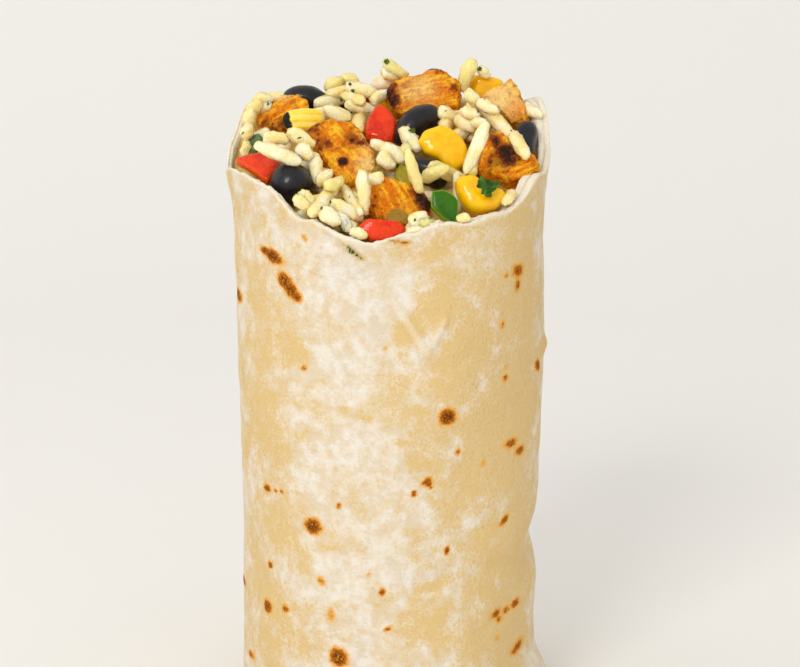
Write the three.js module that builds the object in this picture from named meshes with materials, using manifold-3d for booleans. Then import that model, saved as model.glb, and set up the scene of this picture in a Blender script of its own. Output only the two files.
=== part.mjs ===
// A burrito cut open on a slant, standing on its folded end with the filling heaped in the open top.
// Millimetres, +Z up. The front, where the lip is cut lowest, faces -Y. The origin is the middle of the foot.
// A bearing is an angle round the roll in degrees: 0 is the front, 90 the right side (+X), 180 the back.
import * as THREE from 'three';
import { mergeVertices } from 'three/addons/utils/BufferGeometryUtils.js';
import Module from 'manifold-3d';

const wasm = await Module();
wasm.setup();

// Driving dimensions.
const BODY_RADIUS = 30.4;
const SHEET = 1.5; // one layer of tortilla
const WALL = 2.6; // the layers of the wrap together, pressed flat
const LIP_SIDE = 112; // height of the cut lip at the sides
const LIP_FRONT_DIP = 6.3; // the broad dip of the lip in front
const LIP_NOTCH_DIP = 3.6; // the deeper notch in its middle
const LIP_BACK_RISE = 9;
const FLOOR = 6; // thickness of the folded end
const CORNER = 6; // rounding between the side and the foot
const HEAP_HEIGHT = 113.2; // the bare heap at the axis of the roll
const HEAP_SLOPE = 0.37; // rise of the heap for each millimetre towards the back
const HEAP_CROWN = 1.2;
const HEAP_SHOULDERS = [
  { x: -26, y: 12, reach: 8.5, rise: 6.4 },
  { x: 20, y: 12, reach: 9, rise: 2.4 },
];
const HEAP_RADIUS = BODY_RADIUS - WALL;
const GAP = 0.35; // free space between two pieces that touch
const GRAIN_LENGTH = 8.6;
const GRAIN_WIDTH = 2.7;
const GRAIN_SPACING = 3.9; // between the middles of two grains
const GRAIN_PLACES = 700; // places tried, of which the toppings and other grains take most

// How finely the solids are divided.
const WRAP_COLUMNS = 48;
const HEAP_COLUMNS = 28;
const HEAP_RINGS = 5;

// Where the sheet's free edge runs down the back, as the arc of a round tortilla.
const SEAM_BEARING = 176;
const SEAM_BOW = -20;
const SEAM_MIDDLE = 60;

// Swells and hollows of the side: bearing and height of the middle, half-widths, and rise of the surface.
// lean is how far the middle climbs for each degree to the right.
const SIDE_RELIEF = [
  { bearing: 92, height: 36.5, across: 38, tall: 5.5, rise: -1.8, lean: 0.1 },
  { bearing: 88, height: 27, across: 34, tall: 6, rise: 0.6, lean: 0.08 },
  { bearing: 90, height: 76.5, across: 7, tall: 2.4, rise: 1.0, lean: 0 },
  { bearing: 84, height: 4, across: 24, tall: 5, rise: 3.2, lean: 0 },
  { bearing: -150, height: 6, across: 26, tall: 6, rise: 2.2, lean: 0 },
  { bearing: 90, height: 20, across: 46, tall: 26, rise: -1, lean: 0 },
  { bearing: -88, height: 50, across: 60, tall: 12, rise: -0.3, lean: 0 },
  { bearing: 24, height: 78, across: 9, tall: 9, rise: 0.5, lean: -0.5 },
  { bearing: 2, height: 84, across: 8, tall: 10, rise: -0.5, lean: -0.6 },
  { bearing: 130, height: 70, across: 30, tall: 16, rise: -0.9, lean: 0.1 },
  { bearing: -130, height: 88, across: 26, tall: 14, rise: -0.7, lean: -0.1 },
];

const radians = THREE.MathUtils.degToRad;
const clamp01 = (t) => Math.min(1, Math.max(0, t));
const easeBetween = (low, high, t) => THREE.MathUtils.smoothstep(t, low, high);
const bell = (distance, halfWidth) => Math.exp(-((distance / halfWidth) ** 2));

// Degrees from one bearing to another, between -180 and 180.
function turnBetween(from, to) {
  return ((((to - from) % 360) + 540) % 360) - 180;
}

function seededRandom(seed) {
  let state = seed >>> 0;
  return () => {
    state = (state + 0x6d2b79f5) >>> 0;
    let t = Math.imul(state ^ (state >>> 15), 1 | state);
    t = (t + Math.imul(t ^ (t >>> 7), 61 | t)) ^ t;
    return ((t ^ (t >>> 14)) >>> 0) / 4294967296;
  };
}

// Height of the cut lip: a broad dip in front with a notch in it, level sides and a higher back, all nibbled.
function lipHeight(bearing) {
  const fromFront = turnBetween(0, bearing);
  const broad = easeBetween(-56, -30, fromFront) * (1 - easeBetween(44, 72, fromFront));
  const dip = LIP_FRONT_DIP * broad + LIP_NOTCH_DIP * bell(fromFront + 5, 17);
  const rise = LIP_BACK_RISE * easeBetween(86, 112, Math.abs(fromFront));
  const rightCorner = 4 * bell(fromFront - 103, 13);
  const a = radians(bearing);
  const nibble = 0.3 * Math.sin(9 * a + 0.6) + 0.25 * Math.sin(16 * a + 2.1) + 0.2 * Math.sin(22 * a);
  return LIP_SIDE - dip + rise + rightCorner + nibble;
}

// The smooth radius of the roll, which the cavity shares.
function rollRadius(bearing, z) {
  const a = radians(bearing);
  const broadWaves = 0.28 * Math.sin(3 * a + z / 15) + 0.15 * Math.sin(2 * a + z / 24);
  const fineWaves = 0.2 * Math.sin(5 * a - z / 10 + 1);
  const belowLip = lipHeight(bearing) - z;
  const leftFlare = 1.3 * bell(turnBetween(-88, bearing), 34) * bell(belowLip, 6);
  const rightFlare = 0.9 * bell(turnBetween(96, bearing), 26) * bell(belowLip, 14);
  const lipFlare = 0.3 * bell(belowLip, 5);
  return BODY_RADIUS + broadWaves + fineWaves + leftFlare + rightFlare + lipFlare;
}

function relief(bearing, z) {
  return SIDE_RELIEF.reduce((sum, swell) => {
    const aside = turnBetween(swell.bearing, bearing);
    const middle = swell.height + swell.lean * aside;
    return sum + swell.rise * bell(aside, swell.across) * bell(z - middle, swell.tall);
  }, 0);
}

// Outer radius of the wrap. wound runs from 0, just past the free edge, to 1 on top of it: one layer thicker.
function wrapRadius(bearing, z, wound) {
  return rollRadius(bearing, z) + relief(bearing, z) + SHEET * (wound - 0.5);
}

// On the right of the front the inner layer leans in from the outer one.
function peel(bearing, z) {
  return 1.3 * bell(turnBetween(57, bearing), 17) * bell(lipHeight(bearing) - z, 4.5);
}

// The wall thins towards the lip.
function cavityRadius(bearing, z) {
  const wall = WALL - 0.6 * bell(lipHeight(bearing) - z, 9);
  return rollRadius(bearing, z) + Math.min(0, relief(bearing, z)) - wall - peel(bearing, z);
}

function seamBearing(z) {
  return SEAM_BEARING + SEAM_BOW * ((z - SEAM_MIDDLE) / SEAM_MIDDLE) ** 2;
}

function onBearing(bearing, radius, z) {
  const a = radians(bearing);
  return [radius * Math.sin(a), -radius * Math.cos(a), z];
}

// A closed surface from rings of equal length, each ring going round by rising bearing. The first and the
// last ring are closed by a fan to a middle point.
function surfaceOfRings(rings, firstMiddle, lastMiddle) {
  const count = rings[0].length;
  const points = [...rings.flat(), firstMiddle, lastMiddle];
  const faces = [];
  for (let r = 0; r + 1 < rings.length; r++) {
    for (let i = 0; i < count; i++) {
      const here = r * count + i;
      const next = r * count + ((i + 1) % count);
      faces.push(here, next, next + count, here, next + count, here + count);
    }
  }
  const last = (rings.length - 1) * count;
  for (let i = 0; i < count; i++) {
    const j = (i + 1) % count;
    faces.push(points.length - 2, j, i);
    faces.push(points.length - 1, last + i, last + j);
  }
  const geometry = new THREE.BufferGeometry();
  geometry.setAttribute('position', new THREE.Float32BufferAttribute(points.flat(), 3));
  geometry.setIndex(faces);
  return geometry;
}

function solidOf(geometry) {
  const bare = geometry.clone();
  bare.deleteAttribute('normal');
  bare.deleteAttribute('uv');
  const merged = mergeVertices(bare, 1e-4);
  return new wasm.Manifold(
    new wasm.Mesh({
      numProp: 3,
      vertProperties: new Float32Array(merged.attributes.position.array),
      triVerts: new Uint32Array(merged.index.array),
    }),
  );
}

function geometryOf(solid) {
  const mesh = solid.getMesh();
  const geometry = new THREE.BufferGeometry();
  geometry.setAttribute('position', new THREE.BufferAttribute(new Float32Array(mesh.vertProperties), 3));
  geometry.setIndex(new THREE.BufferAttribute(new Uint32Array(mesh.triVerts), 1));
  geometry.computeVertexNormals();
  return geometry;
}

// The biggest body of a solid, without loose scraps and with sealed hollows filled.
function wholeOf(solid) {
  const bodies = solid.decompose();
  return bodies.reduce((best, body) => (body.volume() > best.volume() ? body : best));
}

// The wrap

// Heights of the rows of the side, from the corner of the foot up to the lip at that bearing.
function sideRows() {
  const corner = [0, 30, 60, 90].map((deg) => {
    const a = radians(deg);
    return { height: () => CORNER * (1 - Math.cos(a)), inset: CORNER * (1 - Math.sin(a)) };
  });
  const levels = [10, 15, 20, 26, 31, 36, 41, 48, 56, 65, 72, 76.5, 82];
  const level = levels.map((z) => ({ height: () => z, inset: 0 }));
  const top = levels[levels.length - 1];
  const underLip = [0.3, 0.55, 0.76, 0.9, 0.98].map((share) => ({
    height: (bearing) => THREE.MathUtils.lerp(top, lipHeight(bearing), share),
    inset: 0,
  }));
  return [...corner, ...level, ...underLip];
}

// Across the cut edge from outside to inside: a share of the wall, and the height against the lip. The dip
// between the two layers is deeper where the inner one leans away.
function edgeRows() {
  return [
    { share: 0.12, height: () => 0 },
    { share: 0.4, height: () => 0.1 },
    { share: 0.5, height: (bearing) => -0.9 - 2 * bell(turnBetween(57, bearing), 17) },
    { share: 0.66, height: () => -0.3 },
    { share: 0.92, height: () => -0.5 },
  ];
}

function wrapSolid(grow) {
  const ringAt = (height, radius) => {
    const ring = [];
    for (let i = 0; i <= WRAP_COLUMNS; i++) {
      const wound = i / WRAP_COLUMNS;
      const nominal = SEAM_BEARING + 360 * wound;
      const seam = seamBearing(height(nominal));
      const bearing = seam + 360 * wound;
      const z = height(bearing);
      ring.push(onBearing(bearing, radius(bearing, z, wound), z));
    }
    return ring;
  };
  const rings = [];
  for (const row of sideRows()) {
    const height = (b) => (row.inset === CORNER ? -grow : row.height(b));
    rings.push(ringAt(height, (b, z, wound) => wrapRadius(b, z, wound) - row.inset + grow));
  }
  for (const row of edgeRows()) {
    const height = (b) => lipHeight(b) + row.height(b) + grow;
    rings.push(
      ringAt(height, (b, z, wound) =>
        THREE.MathUtils.lerp(wrapRadius(b, z, wound) + grow, cavityRadius(b, z) - grow, row.share),
      ),
    );
  }
  const insideHeights = [
    (b) => lipHeight(b) - 1,
    (b) => lipHeight(b) - 5,
    (b) => lipHeight(b) - 14,
    () => 64,
    () => 36.5,
    () => FLOOR + grow,
  ];
  for (const height of insideHeights) {
    rings.push(ringAt(height, (b, z) => cavityRadius(b, z) - grow));
  }
  return solidOf(surfaceOfRings(rings, [3, -4, -grow], [0, 0, FLOOR + grow]));
}

// The folded end shows from below as one flap laid over the other, whose edge is an arc.
const FLAP_RADIUS = 32;
const FLAP_MIDDLE_Y = -19;
const FLAP_STEP = 1.2;

function flapRecess() {
  const outline = new THREE.Shape().absarc(0, 0, 2 * BODY_RADIUS, 0, 2 * Math.PI);
  outline.holes.push(new THREE.Path().absarc(0, FLAP_MIDDLE_Y, FLAP_RADIUS, 0, 2 * Math.PI, true));
  const extrusion = { depth: 2 * FLAP_STEP, bevelEnabled: false, curveSegments: 24 };
  const geometry = new THREE.ExtrudeGeometry(outline, extrusion);
  geometry.translate(0, 0, -FLAP_STEP);
  return solidOf(geometry);
}

// The heap of rice

function heapHeight(x, y) {
  const out = Math.hypot(x, y) / HEAP_RADIUS;
  const shoulders = HEAP_SHOULDERS.reduce((sum, hill) => {
    const away = Math.hypot(x - hill.x, y - hill.y);
    return sum + hill.rise * bell(away, hill.reach);
  }, 0);
  const backEdge = 2.6 * easeBetween(0.8, 1, out) * easeBetween(13, 21, y);
  const lumps = 0.35 * Math.sin(x / 2.9 + 0.7) * Math.sin(y / 3.3 + 1.9) + 0.3 * Math.sin((x + y) / 4.4);
  return HEAP_HEIGHT + HEAP_SLOPE * y + HEAP_CROWN * (1 - out * out) + shoulders - backEdge + lumps;
}

// The filling without its grains runs all the way down inside the wrap.
function bareHeap() {
  const bearings = Array.from({ length: HEAP_COLUMNS }, (_, i) => -180 + (360 * i) / HEAP_COLUMNS);
  const wallRing = (height) =>
    bearings.map((b) => {
      const z = height(b);
      return onBearing(b, cavityRadius(b, z) - 1.5 * GAP, z);
    });
  const topAt = (bearing, share) => {
    const lip = lipHeight(bearing) - 1;
    const radius = share * (cavityRadius(bearing, lip) - 1.5 * GAP);
    const [x, y] = onBearing(bearing, radius, 0);
    return [x, y, heapHeight(x, y)];
  };
  const rings = [FLOOR + GAP, 36.5, 64].map((z) => wallRing(() => z));
  rings.push(wallRing((b) => lipHeight(b) - 14));
  rings.push(wallRing((b) => Math.min(lipHeight(b), topAt(b, 1)[2]) - 4));
  for (let r = HEAP_RINGS; r > 0; r--) {
    rings.push(bearings.map((b) => topAt(b, r / HEAP_RINGS)));
  }
  return solidOf(surfaceOfRings(rings, [0, 0, FLOOR + GAP], [0, 0, heapHeight(0, 0)]));
}

// A grain of rice: a slim spindle with blunt ends, a little bent, along its own X.
function grainGeometry(length, width) {
  const geometry = new THREE.SphereGeometry(0.5, 5, 4).rotateZ(Math.PI / 2);
  const at = geometry.attributes.position;
  for (let i = 0; i < at.count; i++) {
    const along = at.getX(i);
    const across = Math.hypot(at.getY(i), at.getZ(i));
    const blunt = across > 0.01 ? (2 * across) ** -0.45 : 0;
    const bend = 0.05 * length * (4 * along * along - 0.5);
    at.setXYZ(i, along * length, at.getY(i) * width * blunt + bend, at.getZ(i) * width * blunt);
  }
  return geometry;
}

// Grains that stand out in the open top: middle, length, and the turn and lean of placedAt below.
const PROUD_GRAINS = [
  { middle: [21.6, 2.5, 118.2], length: 10.6, turn: -55, lean: 40, twist: 0 },
  { middle: [17.6, -4.6, 115.4], length: 11.4, turn: 72, lean: 18, twist: 0 },
  { middle: [-6, -15.5, 110], length: 9.4, turn: 82, lean: 25, twist: 0 },
  { middle: [4.8, -14, 113], length: 9.2, turn: -68, lean: 30, twist: 0 },
  { middle: [10.6, -13.5, 112], length: 6.5, turn: 24, lean: 40, twist: 20 },
  { middle: [16.4, 21, 125.6], length: 8.4, turn: 78, lean: 10, twist: 0 },
  { middle: [1, 21.5, 127.2], length: 5.6, turn: -48, lean: 10, twist: 0 },
  { middle: [-26.6, 6.6, 121.4], length: 7.6, turn: 20, lean: 30, twist: 70 },
  { middle: [-24.4, 11.6, 123.8], length: 7.4, turn: 6, lean: 20, twist: 40 },
  { middle: [-20.6, 14.8, 123.4], length: 6.6, turn: 10, lean: 20, twist: 20 },
  { middle: [-22.6, -3, 115.2], length: 9.6, turn: -22, lean: 40, twist: 0 },
  { middle: [-14.6, -15.6, 109.4], length: 9, turn: 50, lean: 40, twist: 0 },
  { middle: [-9.4, -20.5, 106.8], length: 9.4, turn: -50, lean: 45, twist: 0 },
  { middle: [-12.2, -8, 113.6], length: 5.6, turn: 80, lean: 30, twist: 20 },
  { middle: [0.8, -5.2, 115.6], length: 7.4, turn: -60, lean: 40, twist: 0 },
  { middle: [-2, -3, 116.4], length: 6.6, turn: 10, lean: 40, twist: 30 },
  { middle: [29.2, 8.6, 119.8], length: 6, turn: -45, lean: 20, twist: 30 },
  { middle: [5, -22.6, 106.8], length: 7, turn: 35, lean: 35, twist: 0 },
  { middle: [25.4, 1.5, 117], length: 7, turn: -50, lean: 40, twist: 0 },
];

// Places a piece, which in its own frame faces the front with its width along X and its height along Z. It is
// turned anticlockwise as seen from the front, leant back, then twisted about the upright.
function placedAt({ middle, turn, lean, twist }) {
  const euler = new THREE.Euler(-radians(lean), -radians(turn), radians(twist), 'ZXY');
  const quaternion = new THREE.Quaternion().setFromEuler(euler);
  return new THREE.Matrix4().compose(new THREE.Vector3(...middle), quaternion, new THREE.Vector3(1, 1, 1));
}

function placedSolid(geometry, place) {
  return solidOf(geometry).transform(placedAt(place).elements);
}

// Toppings

// A box whose corners are drawn in towards an ellipsoid by roundness, from 0 to 1, and roughened by crag.
function softBlock({ size, roundness, parts, crag = 0, seed = 1, taper = 0, bow = 0 }) {
  const geometry = new THREE.BoxGeometry(2, 2, 2, ...parts);
  const at = geometry.attributes.position;
  const point = new THREE.Vector3();
  const round = new THREE.Vector3();
  for (let i = 0; i < at.count; i++) {
    point.fromBufferAttribute(at, i);
    round.copy(point).normalize().multiplyScalar(1.12);
    const rough =
      crag *
      (Math.sin(point.x * 3.1 + seed) * Math.sin(point.z * 2.7 + 2 * seed) +
        0.6 * Math.sin(point.y * 4.3 + point.x * 5.1 + 3 * seed) +
        0.5 * Math.sin(point.z * 6.1 - point.x * 2.2 + seed));
    point.lerp(round, roundness).multiplyScalar(1 + rough);
    point.x *= 1 - taper * point.z;
    point.y += bow * (point.x * point.x - 0.4);
    at.setXYZ(i, (point.x * size[0]) / 2, (point.y * size[1]) / 2, (point.z * size[2]) / 2);
  }
  return geometry;
}

// A cooked bean: long along X, with the bend and the dent of a kidney on its lower side.
function bean(size) {
  const geometry = new THREE.SphereGeometry(1, 9, 6).rotateZ(Math.PI / 2);
  const at = geometry.attributes.position;
  for (let i = 0; i < at.count; i++) {
    const [x, y, z] = [at.getX(i), at.getY(i), at.getZ(i)];
    const dent = z < 0 ? 1 - 0.16 * bell(x, 0.45) : 1;
    const curl = -0.14 * (x * x - 0.35);
    at.setXYZ(i, (x * size[0]) / 2, (y * size[1]) / 2, ((z * dent + curl) * size[2]) / 2);
  }
  return geometry;
}

// A kernel of sweetcorn: a broad crown with a dimple at the top, narrowing to the tip below.
function kernel(size) {
  const geometry = new THREE.SphereGeometry(1, 10, 7).rotateX(Math.PI / 2);
  const at = geometry.attributes.position;
  for (let i = 0; i < at.count; i++) {
    const [x, y, z] = [at.getX(i), at.getY(i), at.getZ(i)];
    const across = Math.hypot(x, y);
    const square = across > 0 ? across / (Math.abs(x) ** 3 + Math.abs(y) ** 3) ** (1 / 3) : 1;
    const slim = 0.66 + 0.34 * easeBetween(-1.1, 0.5, z);
    const swell = square * slim * (1 + 0.24 * clamp01(z));
    const top = Math.sign(z) * Math.abs(z) ** 0.8;
    const dimple = z > 0 ? 0.3 * bell(across, 0.45) : 0;
    at.setXYZ(i, (x * swell * size[0]) / 2, (y * swell * size[1]) / 2, ((top - dimple) * size[2]) / 2);
  }
  return geometry;
}

// A cube of grilled chicken with torn, uneven faces.
const chicken = (seed, crag) => (size) => softBlock({ size, roundness: 0.3, parts: [4, 2, 3], crag, seed });

// A diced piece of pepper wall, a little bowed, with its skin to the front.
const pepper = (taper) => (size) => softBlock({ size, roundness: 0.2, parts: [3, 1, 3], taper, bow: 0.22 });

// A scrap of leaf: a thin wavy blade with a lobed outline.
function leaf(size) {
  const steps = 12;
  const half = size[1] / 2;
  const outline = (share, side) => {
    const a = 2 * Math.PI * share;
    const lobes = 0.8 + 0.2 * Math.cos(3 * a - 0.8) + 0.06 * Math.sin(5 * a);
    return (ring) => {
      const x = (ring * lobes * Math.cos(a) * size[0]) / 2;
      const z = (ring * lobes * Math.sin(a) * size[2]) / 2;
      const wave = 0.35 * Math.sin(x * 1.3) + 0.3 * Math.cos(z * 1.6);
      return [x, wave + side * half, z];
    };
  };
  const ringOn = (side, ring) => Array.from({ length: steps }, (_, i) => outline(i / steps, side)(ring));
  const rings = [ringOn(1, 0.5), ringOn(1, 1), ringOn(-1, 1), ringOn(-1, 0.5)];
  return surfaceOfRings(rings, outline(0, 1)(0), outline(0, -1)(0));
}

function topping(name, shape, size, middle, turn, lean, twist = 0) {
  return { name, shape, size, middle, turn, lean, twist };
}

// Each topping: its name, shape, size across X, Y and Z in its own frame, and its middle in the burrito, then
// how far it is turned, leant and twisted, in degrees.
const TOPPINGS = [
  topping('chicken_diamond', chicken(2, 0.07), [10.4, 6, 12.6], [-9.4, -4.6, 113.9], 26, 42),
  topping('chicken_back', chicken(5, 0.1), [13.8, 8, 9.4], [6.4, 14.4, 122], 10, 28),
  topping('chicken_back_right', chicken(7, 0.06), [8.2, 5.6, 9.4], [23.2, 9, 121.8], 26, 24),
  topping('chicken_left', chicken(4, 0.1), [10.6, 5.6, 6.4], [-21.8, 9.4, 119.4], 26, 30),
  topping('chicken_charred', chicken(9, 0.12), [10.2, 6, 8], [22.8, -6.6, 112.8], -24, 35),
  topping('chicken_front', chicken(3, 0.1), [10.6, 6.2, 8.2], [1.9, -16.4, 107.6], -14, 30),
  topping('bean_front_left', bean, [8.4, 9.4, 8.6], [-18.9, -13.6, 110.1], 12, 10),
  topping('bean_middle', bean, [11.4, 6.8, 6.4], [5.4, 4.4, 118.8], 44, 36),
  topping('bean_back_left', bean, [9.8, 6.6, 5.8], [-17, 17.2, 122], -8, 20),
  topping('bean_back_top', bean, [9.6, 6, 6.4], [9.2, 22.4, 124.4], 0, 0, 80),
  topping('bean_right', bean, [8.8, 6, 5.6], [26.8, 0.2, 116.2], 80, 30),
  topping('bean_under_corn', bean, [8.8, 6, 5.6], [7.6, -7.4, 111.2], -28, 50),
  topping('corn_middle', kernel, [10, 5.8, 9.2], [11.2, -3.4, 115], 32, 22),
  topping('corn_front', kernel, [9.6, 6.2, 8.4], [17.2, -17.2, 108], -34, 30),
  topping('corn_charred', kernel, [5.2, 4.8, 8.4], [-17.2, 3.8, 118.9], 86, 20),
  topping('corn_back_right', kernel, [7.2, 6, 7.2], [19.6, 17.8, 123.6], -10, 20),
  topping('red_pepper_middle', pepper(0.12), [6, 4.4, 7.8], [-2, 5.6, 117.9], 8, 34),
  topping('red_pepper_left', pepper(0), [6.2, 2.4, 6], [-25.2, -8.6, 113], 45, 62),
  topping('red_pepper_front', pepper(0.18), [9, 3.6, 4.2], [-1.4, -25.2, 103.5], -3, 20),
  topping('red_pepper_back', pepper(0.1), [6.4, 2.6, 3], [-3.8, 17.6, 122.9], -8, 10),
  topping('green_pepper_front', pepper(0.05), [5.2, 3.6, 6.4], [10.4, -21.6, 106.6], 6, 26),
  topping('green_pepper_left', pepper(0.1), [3.8, 3, 3.6], [-26.6, 0.4, 115.8], 30, 30),
  topping('green_pepper_olive', pepper(0.08), [3.2, 2.8, 4.8], [2.8, -9.8, 110.6], 10, 30),
  topping('pickled_pepper_front', pepper(0.02), [4.8, 2.4, 3], [1.7, -21.8, 105.2], 0, 35),
  topping('pickled_pepper_middle', pepper(0.05), [2.4, 2.4, 3], [-1.8, -9.8, 111.6], 0, 30),
  topping('onion_back', pepper(0.1), [7.8, 3.6, 3.6], [-0.4, 21.8, 125], 8, 20),
  topping('onion_front', pepper(0.04), [2.2, 2.8, 8], [13.3, -13, 108.4], 4, 24),
  topping('bean_back_rim', bean, [9.6, 6, 5.8], [-9.6, 24.4, 120], 6, 0, 18),
  topping('corn_back_rim', kernel, [6.8, 4.8, 6.6], [0.4, 26, 119.8], -70, -10),
  topping('red_pepper_back_rim', pepper(0.1), [5, 3, 4.4], [-16.8, 19.8, 119.8], 20, -20),
  topping('coriander_leaf', leaf, [4.6, 0.6, 4.4], [18.9, -21.2, 111], 10, 30),
];

// The start of the names of a kind of topping, its colour and its roughness.
function colourOf(name) {
  const kinds = [
    ['chicken', 0xd3832a, 0.7],
    ['bean', 0x1a1620, 0.3],
    ['corn', 0xf4b80e, 0.3],
    ['red_pepper', 0xdc3a14, 0.3],
    ['green_pepper', 0x4f8a18, 0.3],
    ['pickled_pepper', 0x8a7414, 0.4],
    ['onion', 0xe6d3a8, 0.35],
    ['coriander', 0x16421c, 0.5],
  ];
  return kinds.find(([start]) => name.startsWith(start));
}

function meshOf(name, solid, color, roughness) {
  const mesh = new THREE.Mesh(
    geometryOf(solid),
    new THREE.MeshStandardMaterial({ color, roughness, metalness: 0, flatShading: true }),
  );
  mesh.name = name;
  return mesh;
}

// A topping and the same one grown by the gap, which its neighbours are cut with.
function toppingSolids({ shape, size, ...place }) {
  const grown = size.map((s) => s + 2 * GAP);
  return { solid: placedSolid(shape(size), place), cutter: placedSolid(shape(grown), place) };
}

const meets = (a, b) => a.intersect(b).volume() > 1e-3;

// What a grain has to stay clear of, with a ball round it that is quick to test first.
function obstacleOf(solid) {
  const { min, max } = solid.boundingBox();
  const low = new THREE.Vector3(...min);
  const high = new THREE.Vector3(...max);
  return { solid, middle: low.clone().lerp(high, 0.5), reach: low.distanceTo(high) / 2 };
}

function isClear(grain, middle, length, obstacles) {
  const near = obstacles.filter((o) => o.middle.distanceTo(middle) < o.reach + length / 2);
  return !near.some((o) => meets(grain, o.solid));
}

// A grain lying on the slope of the heap: turned about the upright, tipped a little, then laid on the slope.
function lyingGrain({ length, width, middle, turn, dip }) {
  const slope = Math.atan(HEAP_SLOPE);
  const quaternion = new THREE.Quaternion().setFromEuler(new THREE.Euler(slope, -dip, turn, 'XZY'));
  const place = new THREE.Matrix4().compose(middle, quaternion, new THREE.Vector3(1, 1, 1));
  return solidOf(grainGeometry(length, width)).transform(place.elements);
}

function proudGrains(obstacles) {
  return PROUD_GRAINS.map((g) => ({
    middle: new THREE.Vector3(...g.middle),
    length: g.length,
    solid: placedSolid(grainGeometry(g.length, GRAIN_WIDTH * 1.1), g),
  })).filter((g) => isClear(g.solid, g.middle, g.length, obstacles));
}

// Grains spread evenly over the heap: the places go round by the golden turn, and one too near an earlier
// grain is passed over. A grain that would cross a topping or the wrap is turned and shortened, in the end
// skipped.
function scatteredGrains(obstacles, earlier) {
  const random = seededRandom(11);
  const goldenTurn = Math.PI * (3 - Math.sqrt(5));
  const grains = [];
  for (let i = 0; i < GRAIN_PLACES; i++) {
    const reach = HEAP_RADIUS * Math.sqrt((i + 0.5) / GRAIN_PLACES);
    const x = reach * Math.cos(i * goldenTurn);
    const y = reach * Math.sin(i * goldenTurn);
    const middle = new THREE.Vector3(x, y, heapHeight(x, y) + 0.4 + 0.9 * random());
    if ([...earlier, ...grains].some((g) => g.middle.distanceTo(middle) < GRAIN_SPACING)) {
      continue;
    }
    for (const share of [1, 0.95, 0.9, 0.8, 0.7, 0.6, 0.5]) {
      const length = GRAIN_LENGTH * share * (0.85 + 0.35 * random());
      const width = GRAIN_WIDTH * (0.9 + 0.2 * random());
      const place = { length, width, middle, turn: Math.PI * random(), dip: 0.5 * (random() - 0.5) };
      const solid = lyingGrain(place);
      if (isClear(solid, middle, length, obstacles)) {
        grains.push({ solid, middle });
        break;
      }
    }
  }
  return grains;
}

function buildBurrito() {
  const group = new THREE.Group();
  const wrap = wrapSolid(0).subtract(flapRecess());
  const wrapCutter = wrapSolid(GAP);
  group.add(meshOf('tortilla', wholeOf(wrap), 0xead8b4, 0.75));

  const cutters = [];
  for (const piece of TOPPINGS) {
    const { solid, cutter } = toppingSolids(piece);
    const touching = [wrapCutter, ...cutters].filter((other) => meets(solid, other));
    const fitted = touching.reduce((rest, other) => rest.subtract(other), solid);
    const [, color, roughness] = colourOf(piece.name);
    group.add(meshOf(piece.name, wholeOf(fitted), color, roughness));
    cutters.push(cutter);
  }

  const carved = [wrapCutter, ...cutters].reduce((rest, cutter) => rest.subtract(cutter), bareHeap());
  const obstacles = [wrapCutter, ...cutters].map(obstacleOf);
  const proud = proudGrains(obstacles);
  const grains = [...proud, ...scatteredGrains(obstacles, proud)];
  const rice = wasm.Manifold.union([wholeOf(carved), ...grains.map((grain) => grain.solid)]);
  group.add(meshOf('rice_filling', wholeOf(rice), 0xe9dba6, 0.6));
  return group;
}

export default buildBurrito();
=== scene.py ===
"""A burrito cut open on a slant, standing on its folded end, with the filling heaped in the open top.

Blender works in metres. Sizes here are in millimetres unless a name says otherwise, and every mesh is
brought to metres when it is made. The front, where the lip is cut lowest, faces -Y. A bearing is an angle
round the roll in degrees: 0 is the front, 90 the right side (+X) and 180 the back.
"""

import logging
import math
from dataclasses import dataclass, field
from enum import Enum
from typing import Iterable, Optional, Sequence

import bpy
import numpy as np
from mathutils import Euler, Matrix, Vector, noise
from mathutils.bvhtree import BVHTree


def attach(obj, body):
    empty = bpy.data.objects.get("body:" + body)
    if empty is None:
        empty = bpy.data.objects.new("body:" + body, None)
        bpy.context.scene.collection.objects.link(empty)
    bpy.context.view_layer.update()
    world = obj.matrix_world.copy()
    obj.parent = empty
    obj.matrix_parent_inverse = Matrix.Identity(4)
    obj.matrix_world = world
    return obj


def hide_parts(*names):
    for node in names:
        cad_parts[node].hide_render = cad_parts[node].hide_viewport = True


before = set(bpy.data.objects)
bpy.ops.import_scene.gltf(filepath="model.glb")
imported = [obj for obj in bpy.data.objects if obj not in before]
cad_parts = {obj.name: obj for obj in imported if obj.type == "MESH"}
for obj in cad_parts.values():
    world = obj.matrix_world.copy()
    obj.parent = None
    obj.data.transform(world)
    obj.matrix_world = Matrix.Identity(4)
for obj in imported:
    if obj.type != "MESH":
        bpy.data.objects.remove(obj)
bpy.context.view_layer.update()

BODY = "root"
MM = 0.001
PIXEL_SIZE = 0.2
ABOVE_ALL = 150
GOLDEN_TURN = math.pi * (3 - math.sqrt(5))

log = logging.getLogger("burrito")

Field = np.ndarray
Point = tuple[float, float, float]
Pixel = tuple[float, float]
Colour = tuple[float, float, float, float]
Face = tuple[int, ...]
Thing = bpy.types.Object
Socket = bpy.types.NodeSocket


class Slot(Enum):
    """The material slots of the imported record."""

    TORTILLA = "tortilla"
    RICE = "rice"
    CHICKEN = "chicken"
    BEAN = "bean"
    CORN = "sweetcorn"
    RED_PEPPER = "red_pepper"
    GREEN_PEPPER = "green_pepper"
    PICKLED_PEPPER = "pickled_pepper"
    ONION = "onion"
    HERB = "coriander"


# Numbers and fields


def bell(distance: Field, half_width: float) -> Field:
    """1 in the middle, falling smoothly to nothing a few half-widths away."""
    return np.exp(-((distance / half_width) ** 2))


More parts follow.
